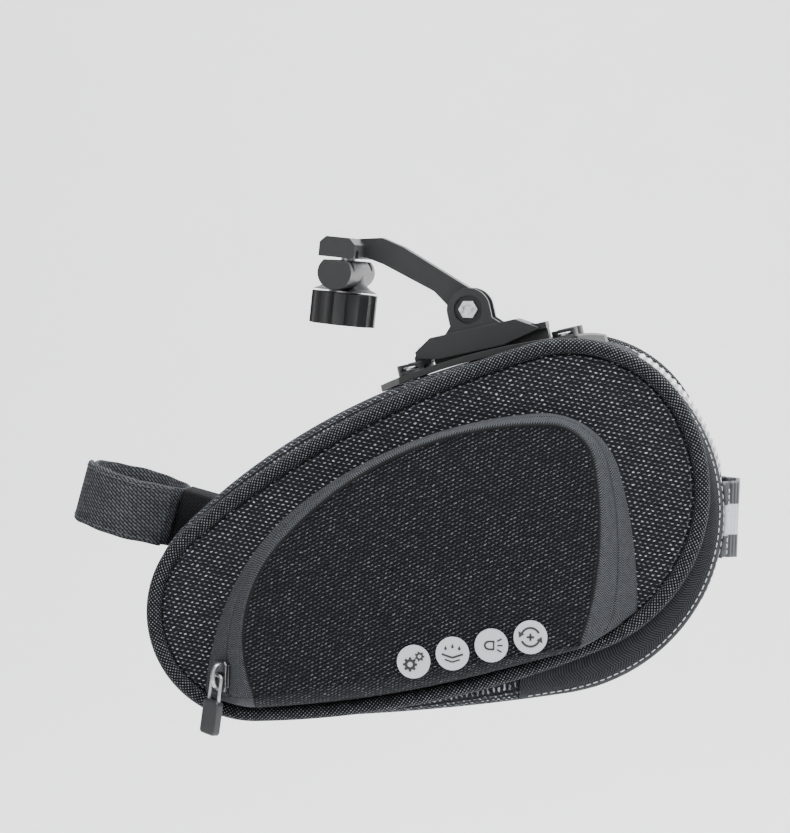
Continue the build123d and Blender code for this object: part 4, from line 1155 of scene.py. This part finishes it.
def lamp():
    """A rear lamp with three rays."""
    marks = [hoop((-0.9, 0), 1.5, 0.85, 90, 270)]
    marks += [bar((-0.9, y), (0.8, y), 0.6) for y in (1.25, -1.25)]
    marks += [bar((1.8, side * 1.3), (3.3, side * 2.1), 0.5) for side in (1, -1)]
    return marks + [bar((1.9, 0), (3.6, 0), 0.5), bar((0.75, -1.5), (0.75, 1.5), 0.55)]


def round_trip():
    """Two arrows round a cross."""
    marks = [hoop((0, 0), 3.3, 2.6, start, start + 130) for start in (25, 205)]
    marks += [[(-3.6, -0.2), (-1.9, 0.9), (-3.9, 1.9)], [(3.6, 0.2), (1.9, -0.9), (3.9, -1.9)]]
    return marks + [bar((-1.2, 0), (1.2, 0), 0.7), bar((0, -1.2), (0, 1.2), 0.7)]


ICONS = [cog((-1.1, -0.9), 2.3, 8) + cog((1.9, 1.7), 1.6, 7), rain(), lamp(), round_trip()]


def badges():
    """Four round film badges, each with a raised generic sign."""
    slope = atan2(POCKET_DEEPENING, 1)
    x_dir, y_dir, z_dir = (1, 0, 0), (0, sin(slope), cos(slope)), (0, -cos(slope), sin(slope))
    discs, signs = [], []
    for index, marks in enumerate(ICONS):
        x, v = polar(BADGE_FIRST, index * BADGE_PITCH, BADGE_TURN)
        origin = pocket_point(1, x, v, 0.25)
        outline = hoop((0, 0), BADGE_R, BADGE_R, 0, 360, 57)[:56]
        discs.append(prism("badge", outline, BADGE_RISE - 0.25, (origin, x_dir, y_dir, z_dir), badge_film))
        face = pocket_point(1, x, v, BADGE_RISE - 0.02)
        for mark in marks:
            signs.append(prism("sign", mark, 0.12, (face, x_dir, y_dir, z_dir), icon_black))
    ride(joined("badge_discs", discs), "pocket", "reflective", "reflective_badges")
    ride(joined("badge_signs", signs), "pocket", "rubber")


badges()


# ---- zipper sliders and pulls ---------------------------------------------------------

def mirrored(half):
    """A closed outline from its half below the first axis."""
    return half + [(a, -b) for a, b in half[::-1]]


def slider(name, axes):
    """A slider: its shouldered plate, side flanges and the arched bridge that holds the pull."""
    origin, x, y, z = axes
    plate = mirrored([(-5.0, -2.1), (-3.2, -2.9), (1.0, -3.2), (3.6, -3.6), (5.0, -2.8)])
    parts = [prism(name, plate, 1.3, axes, black_metal, 0.3)]
    for sign in (-1, 1):
        rail = [(-3.6, sign * 2.0), (3.8, sign * 2.6), (3.8, sign * 3.4), (-3.6, sign * 2.8)]
        rail = rail if sign > 0 else rail[::-1]
        parts.append(prism("rail", rail, 1.0, (origin - z * 0.9, x, y, z), black_metal, 0.2))
    arch = [origin + x * (-3.9 * cos(t)) + z * (1.1 + 3.0 * sin(t) ** 0.8)
            for t in np.linspace(0.02, pi - 0.02, 18)]
    parts.append(tube("bridge", arch, 0.62, worn_metal, sides=8, flat=1.6, binormal=tuple(y)))
    return [apply_modifiers(part) for part in parts]


def apply_modifiers(piece):
    """Replaces a piece's mesh with its finished shape."""
    depsgraph = bpy.context.evaluated_depsgraph_get()
    made = bpy.data.meshes.new_from_object(piece.evaluated_get(depsgraph))
    piece.modifiers.clear()
    piece.data = made
    return piece


def rounded_loop(length, width, corner, steps=5):
    """A closed rounded rectangle, hanging from 0 down to -length."""
    points = []
    for cx, cy, start in ((-corner, width / 2 - corner, 0), (-length + corner, width / 2 - corner, 90),
                          (-length + corner, -width / 2 + corner, 180), (-corner, -width / 2 + corner, 270)):
        for t in np.radians(np.linspace(start, start + 90, steps)):
            points.append((cx + corner * cos(t), cy + corner * sin(t)))
    return points


def pull(name, axes, ring, grip):
    """A wire ring on the slider's bridge and a moulded grip on the ring. -X runs down them."""
    origin, x, y, z = axes
    (ring_length, ring_width), (start, length, width, thickness) = ring, grip
    bend = rounded_loop(ring_length + 0.4, ring_width - 0.9, 1.3)
    path = [origin + x * (a + 0.5) + y * b for a, b in bend]
    wire = tube(f"{name}_ring", path, 0.6, worn_metal, closed=True, sides=10, binormal=tuple(z))
    near, far, chamfer = -start, -start - length, 0.9
    shape = mirrored([(near, -width * 0.40), (near - chamfer, -width / 2), (far + chamfer, -width / 2),
                      (far, -width * 0.40)])
    back = origin - z * thickness / 2
    moulded = prism(f"{name}_grip", shape, thickness, (back, x, y, z), rubber, 0.6, 3)
    ribs = []
    for share in (0.38, 0.54, 0.70):
        at = -start - length * share
        middle = origin + x * at + z * (thickness / 2 + 0.05)
        line = [middle + y * b for b in np.linspace(-width * 0.3, width * 0.3, 6)]
        ribs.append(tube("rib", line, 0.32, rubber, sides=8, binormal=tuple(z)))
    return wire, joined(f"{name}_grip", [apply_modifiers(moulded)] + ribs)


def hanging_axes(origin, across):
    """A frame for a piece that hangs from its pin, its lower end leaning forward."""
    lean = radians(PULL_LEAN)
    x = np.array((sin(lean), 0.0, cos(lean)))
    z = unit(-np.cross(x, across))
    return origin, x, np.cross(z, x), z


def lying_axes(origin, _):
    """A frame for a piece that lies back under the bag, its free end forward and down."""
    pitch = radians(PULL_PITCH)
    x, z = np.array((cos(pitch), 0, sin(pitch))), np.array((sin(pitch), 0, -cos(pitch)))
    return origin, x, np.cross(z, x), z


def pocket_slider_axes(lift):
    x, z = polar(slit_centre, slit_radius, SLIDER_ANGLE)
    out_x, out_z = polar((0, 0), 0.9, SLIDER_ANGLE)
    out = unit((out_x, -1, out_z))
    along = unit(np.array((0, 0, 1)) - out * out[2])
    base = pocket_point(0.5, x, z / cos(atan2(0.5 * POCKET_DEEPENING, 1)))
    return base + out * lift, along, unit(np.cross(out, along)), out


def main_slider_axes(lift):
    angle = MAIN_SLIDER_ANGLE
    x, z = polar(CROWN_REAR_CENTRE, CROWN_REAR_R + lift, angle)
    out = np.array((cos(radians(angle)), 0, sin(radians(angle))))
    along = np.array((-out[2], 0, out[0]))
    return np.array((x, ZIP_Y, z)), along, unit(np.cross(out, along)), out


def zipper_hardware(name, axes_at, pull_axes, ring, grip, bodies, nodes):
    slider_body, pull_body = bodies
    cast = joined(f"{name}_slider_cast", slider(f"{name}_slider", axes_at(0.2)))
    ride(cast, slider_body, "slider_metal", nodes[0])
    pin = axes_at(SLIDER_PIN)
    wire, moulded = pull(name, pull_axes(pin[0], pin[2]), ring, grip)
    ride(wire, pull_body, "slider_metal", *nodes[1:2])
    ride(moulded, pull_body, "rubber", *nodes[2:3])


zipper_hardware("pocket_zip", pocket_slider_axes, hanging_axes, (9.5, 6.0), (7.6, 11.4, 7.6, 3.0),
                ("slider_pocket", "pull_pocket"), ["pocket_slider", "pocket_pull_frame", "pocket_pull_grip"])
zipper_hardware("rear_zip", main_slider_axes, lying_axes, (7.0, 5.0), (5.5, 11.0, 7.0, 2.4),
                ("slider_main", "puller_main"), ["main_slider", "main_puller"])


# ---- seatpost strap -------------------------------------------------------------------

def strap_axes():
    turn = radians(-STRAP_TILT)
    return (np.array((STRAP_CENTRE[0], 0, STRAP_CENTRE[1])), np.array((cos(turn), 0, sin(turn))),
            np.array((0, 1, 0)), np.array((-sin(turn), 0, cos(turn))))


def strap_band(name, inner, start, end, body, nodes, flare=0.0):
    """Webbing round the seatpost with rounded selvedges; a flare lifts its last stretch."""
    origin, x, y, z = strap_axes()
    half, full, soft = STRAP_WIDTH / 2, STRAP_THICKNESS, 0.3
    heights = [-half + soft, -half * 0.5, 0.0, half * 0.5, half - soft]
    section = [(0.0, h) for h in heights] + [(soft, half), (full - soft, half)]
    section += [(full, h) for h in heights[::-1]] + [(full - soft, -half), (soft, -half)]
    turns = np.radians(np.linspace(start, end, max(8, round(abs(end - start) / 2.5))))
    closed = abs(end - start) >= 360
    turns = turns[:-1] if closed else turns
    grid = []
    for t in turns:
        lift = flare * max(0.0, 1 - abs(degrees(t) - end) / 22) ** 2
        wobble = 0.12 * sin(5 * t) + 0.08 * sin(11 * t + 1)
        radial = x * cos(t) + y * sin(t)
        grid.append([origin + radial * (inner + lift + r) + z * (h + wobble) for r, h in section])
    around = run_length(np.array(section), True)
    run = np.degrees(turns) * radians(1) * inner
    if closed:
        run = np.append(run, run[-1] + (run[1] - run[0]))
    piece = sheet_piece(name, grid, loop_nap, run, around, wrap=(closed, True), flip=True)
    if not closed:
        cap_ends(piece, len(grid), len(section))
    return ride(piece, body, "webbing", *nodes)


strap_band("strap_loop", POST_R, 0.0, 360.0, "bag", ["seatpost_strap"])
strap_band("strap_tail", POST_R + STRAP_THICKNESS + 0.3, *STRAP_END_ANGLES, "strap_tail", ["strap_end"], 0.5)


def strap_anchor():
    """Two layers of webbing from the strap to the gusset, with a bar-tacked end."""
    origin, x, y, z = strap_axes()
    length, side_top, top, corner = 15.0, 9.2, 9.9, 1.6
    rows = []
    for share in np.linspace(0, 1, 14):
        along = POST_R + STRAP_THICKNESS - 0.6 + share * length
        half = 8.6 + 0.8 * share
        left = [(-half, -side_top), (-half, 0), (-half, side_top), (-half + corner, top), (0, top)]
        right = [(half - corner, top), (half, side_top), (half, 0), (half, -side_top)]
        low = [(half - corner, -top), (0, -top), (-half + corner, -top)]
        rows.append([origin + x * along + y * b + z * h for b, h in left + right + low])
    around = run_length(np.array([(p @ y, p @ z) for p in rows[0]]), True)
    piece = sheet_piece("strap_anchor_web", rows, hook_nap, np.linspace(0, length, 14), around,
                        wrap=(False, True))
    cap_ends(piece, 14, 12)
    return ride(piece, "bag", "webbing", "strap_anchor")


strap_anchor()
origin, sx, sy, sz = strap_axes()
for index, height in enumerate((-8.6, 8.6)):
    turns = np.radians(np.linspace(STRAP_END_ANGLES[0] + 2, STRAP_END_ANGLES[1] - 2, 60))
    radius = POST_R + 2 * STRAP_THICKNESS + 0.3
    path = [origin + (sx * cos(t) + sy * sin(t)) * radius + sz * height for t in turns]
    up = [sx * cos(t) + sy * sin(t) for t in turns]
    row = stitches(f"strap_stitches_{index}", path, up, dark_thread, pitch=2.4, thread=0.36)
    ride(row, "strap_tail", "webbing")


# ---- hard parts from the frame --------------------------------------------------------

def paint_nodes(material, *names):
    for name in names:
        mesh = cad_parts[name].data
        mesh.materials.clear()
        mesh.materials.append(material)


paint_nodes(nylon, "bracket_arm", "lower_jaw", "quick_release_socket", "base_plate", "backing_plate")
paint_nodes(fine_nylon, "clamp_knob", "latch_button", "pivot_washers")
paint_nodes(bright_steel, "clamp_screw", "pivot_bolt", "pivot_nut", "knob_nut", "knob_washer", "rivets",
            "latch_spring")

# ---- stage, light and camera ----------------------------------------------------------


def backdrop():
    """A pale floor that curves up behind the object."""
    floor_z, far_y, bend, half = -0.36, 1.4, 0.6, 3.0
    profile = [(-3.0, floor_z), (far_y - bend, floor_z)]
    profile += [(far_y - bend + bend * sin(t), floor_z + bend - bend * cos(t))
                for t in np.linspace(0.1, pi / 2, 12)]
    profile += [(far_y, floor_z + 3.0)]
    points = [(x, y, z) for y, z in profile for x in (-half, half)]
    faces = [[2 * k, 2 * k + 1, 2 * k + 3, 2 * k + 2] for k in range(len(profile) - 1)]
    paper = Paint("PalePaper", roughness=0.9, specular=0.2)
    paper.shader.inputs["Emission Color"].default_value = (1.0, 1.0, 1.0, 1.0)
    paper.shader.inputs["Emission Strength"].default_value = 0.34
    paper_white = paper.finish(paper.mix(paper.noise(0.02, 2.0), (0.80, 0.80, 0.81), (0.84, 0.84, 0.85)))
    mesh = bpy.data.meshes.new("backdrop")
    mesh.from_pydata(points, [], faces)
    mesh.materials.append(paper_white)
    mesh.polygons.foreach_set("use_smooth", [True] * len(mesh.polygons))
    made = bpy.data.objects.new("backdrop", mesh)
    bpy.context.scene.collection.objects.link(made)


def soft_light(name, place, target, size, power, tint=(1.0, 1.0, 1.0)):
    lamp = bpy.data.lights.new(name, "AREA")
    lamp.shape = "RECTANGLE"
    lamp.size, lamp.size_y = size
    lamp.energy = power
    lamp.color = tint
    made = bpy.data.objects.new(name, lamp)
    made.location = place
    made.rotation_euler = (Vector(target) - Vector(place)).to_track_quat("-Z", "Y").to_euler()
    bpy.context.scene.collection.objects.link(made)


backdrop()
middle = (cad_low + cad_high) / 2
PAPER_SPOT = (0.0, 1.2, 0.0)
soft_light("key", (0.45, -0.35, 0.75), middle, (0.6, 0.6), 22.0, (0.95, 0.975, 1.0))
soft_light("front", (-0.5, -1.1, 0.25), middle, (1.0, 0.8), 6.5)
soft_light("rear", (0.8, 0.5, 0.35), middle, (0.5, 0.8), 9.0)
soft_light("paper", (0.0, 0.2, 1.6), PAPER_SPOT, (2.2, 1.2), 62.0)

world = bpy.data.worlds.new("Studio")
world.use_nodes = True
world.node_tree.nodes["Background"].inputs[0].default_value = (0.93, 0.95, 1.0, 1.0)
world.node_tree.nodes["Background"].inputs[1].default_value = 0.24
bpy.context.scene.world = world

AIM, DISTANCE, AZIMUTH, ELEVATION, LENS = (0.0157, 0.0, -0.0526), 0.9, 7.0, 3.0, 122.4
lens = bpy.data.cameras.new("photo_angle")
lens.sensor_fit = "HORIZONTAL"
lens.sensor_width = 36.0
lens.lens = LENS
camera = bpy.data.objects.new("photo_angle", lens)
level = cos(radians(ELEVATION))
back = Vector((sin(radians(AZIMUTH)) * level, -cos(radians(AZIMUTH)) * level, sin(radians(ELEVATION))))
camera.location = Vector(AIM) + back * DISTANCE
camera.rotation_euler = (-back).to_track_quat("-Z", "Y").to_euler()
bpy.context.scene.collection.objects.link(camera)
bpy.context.scene.camera = camera
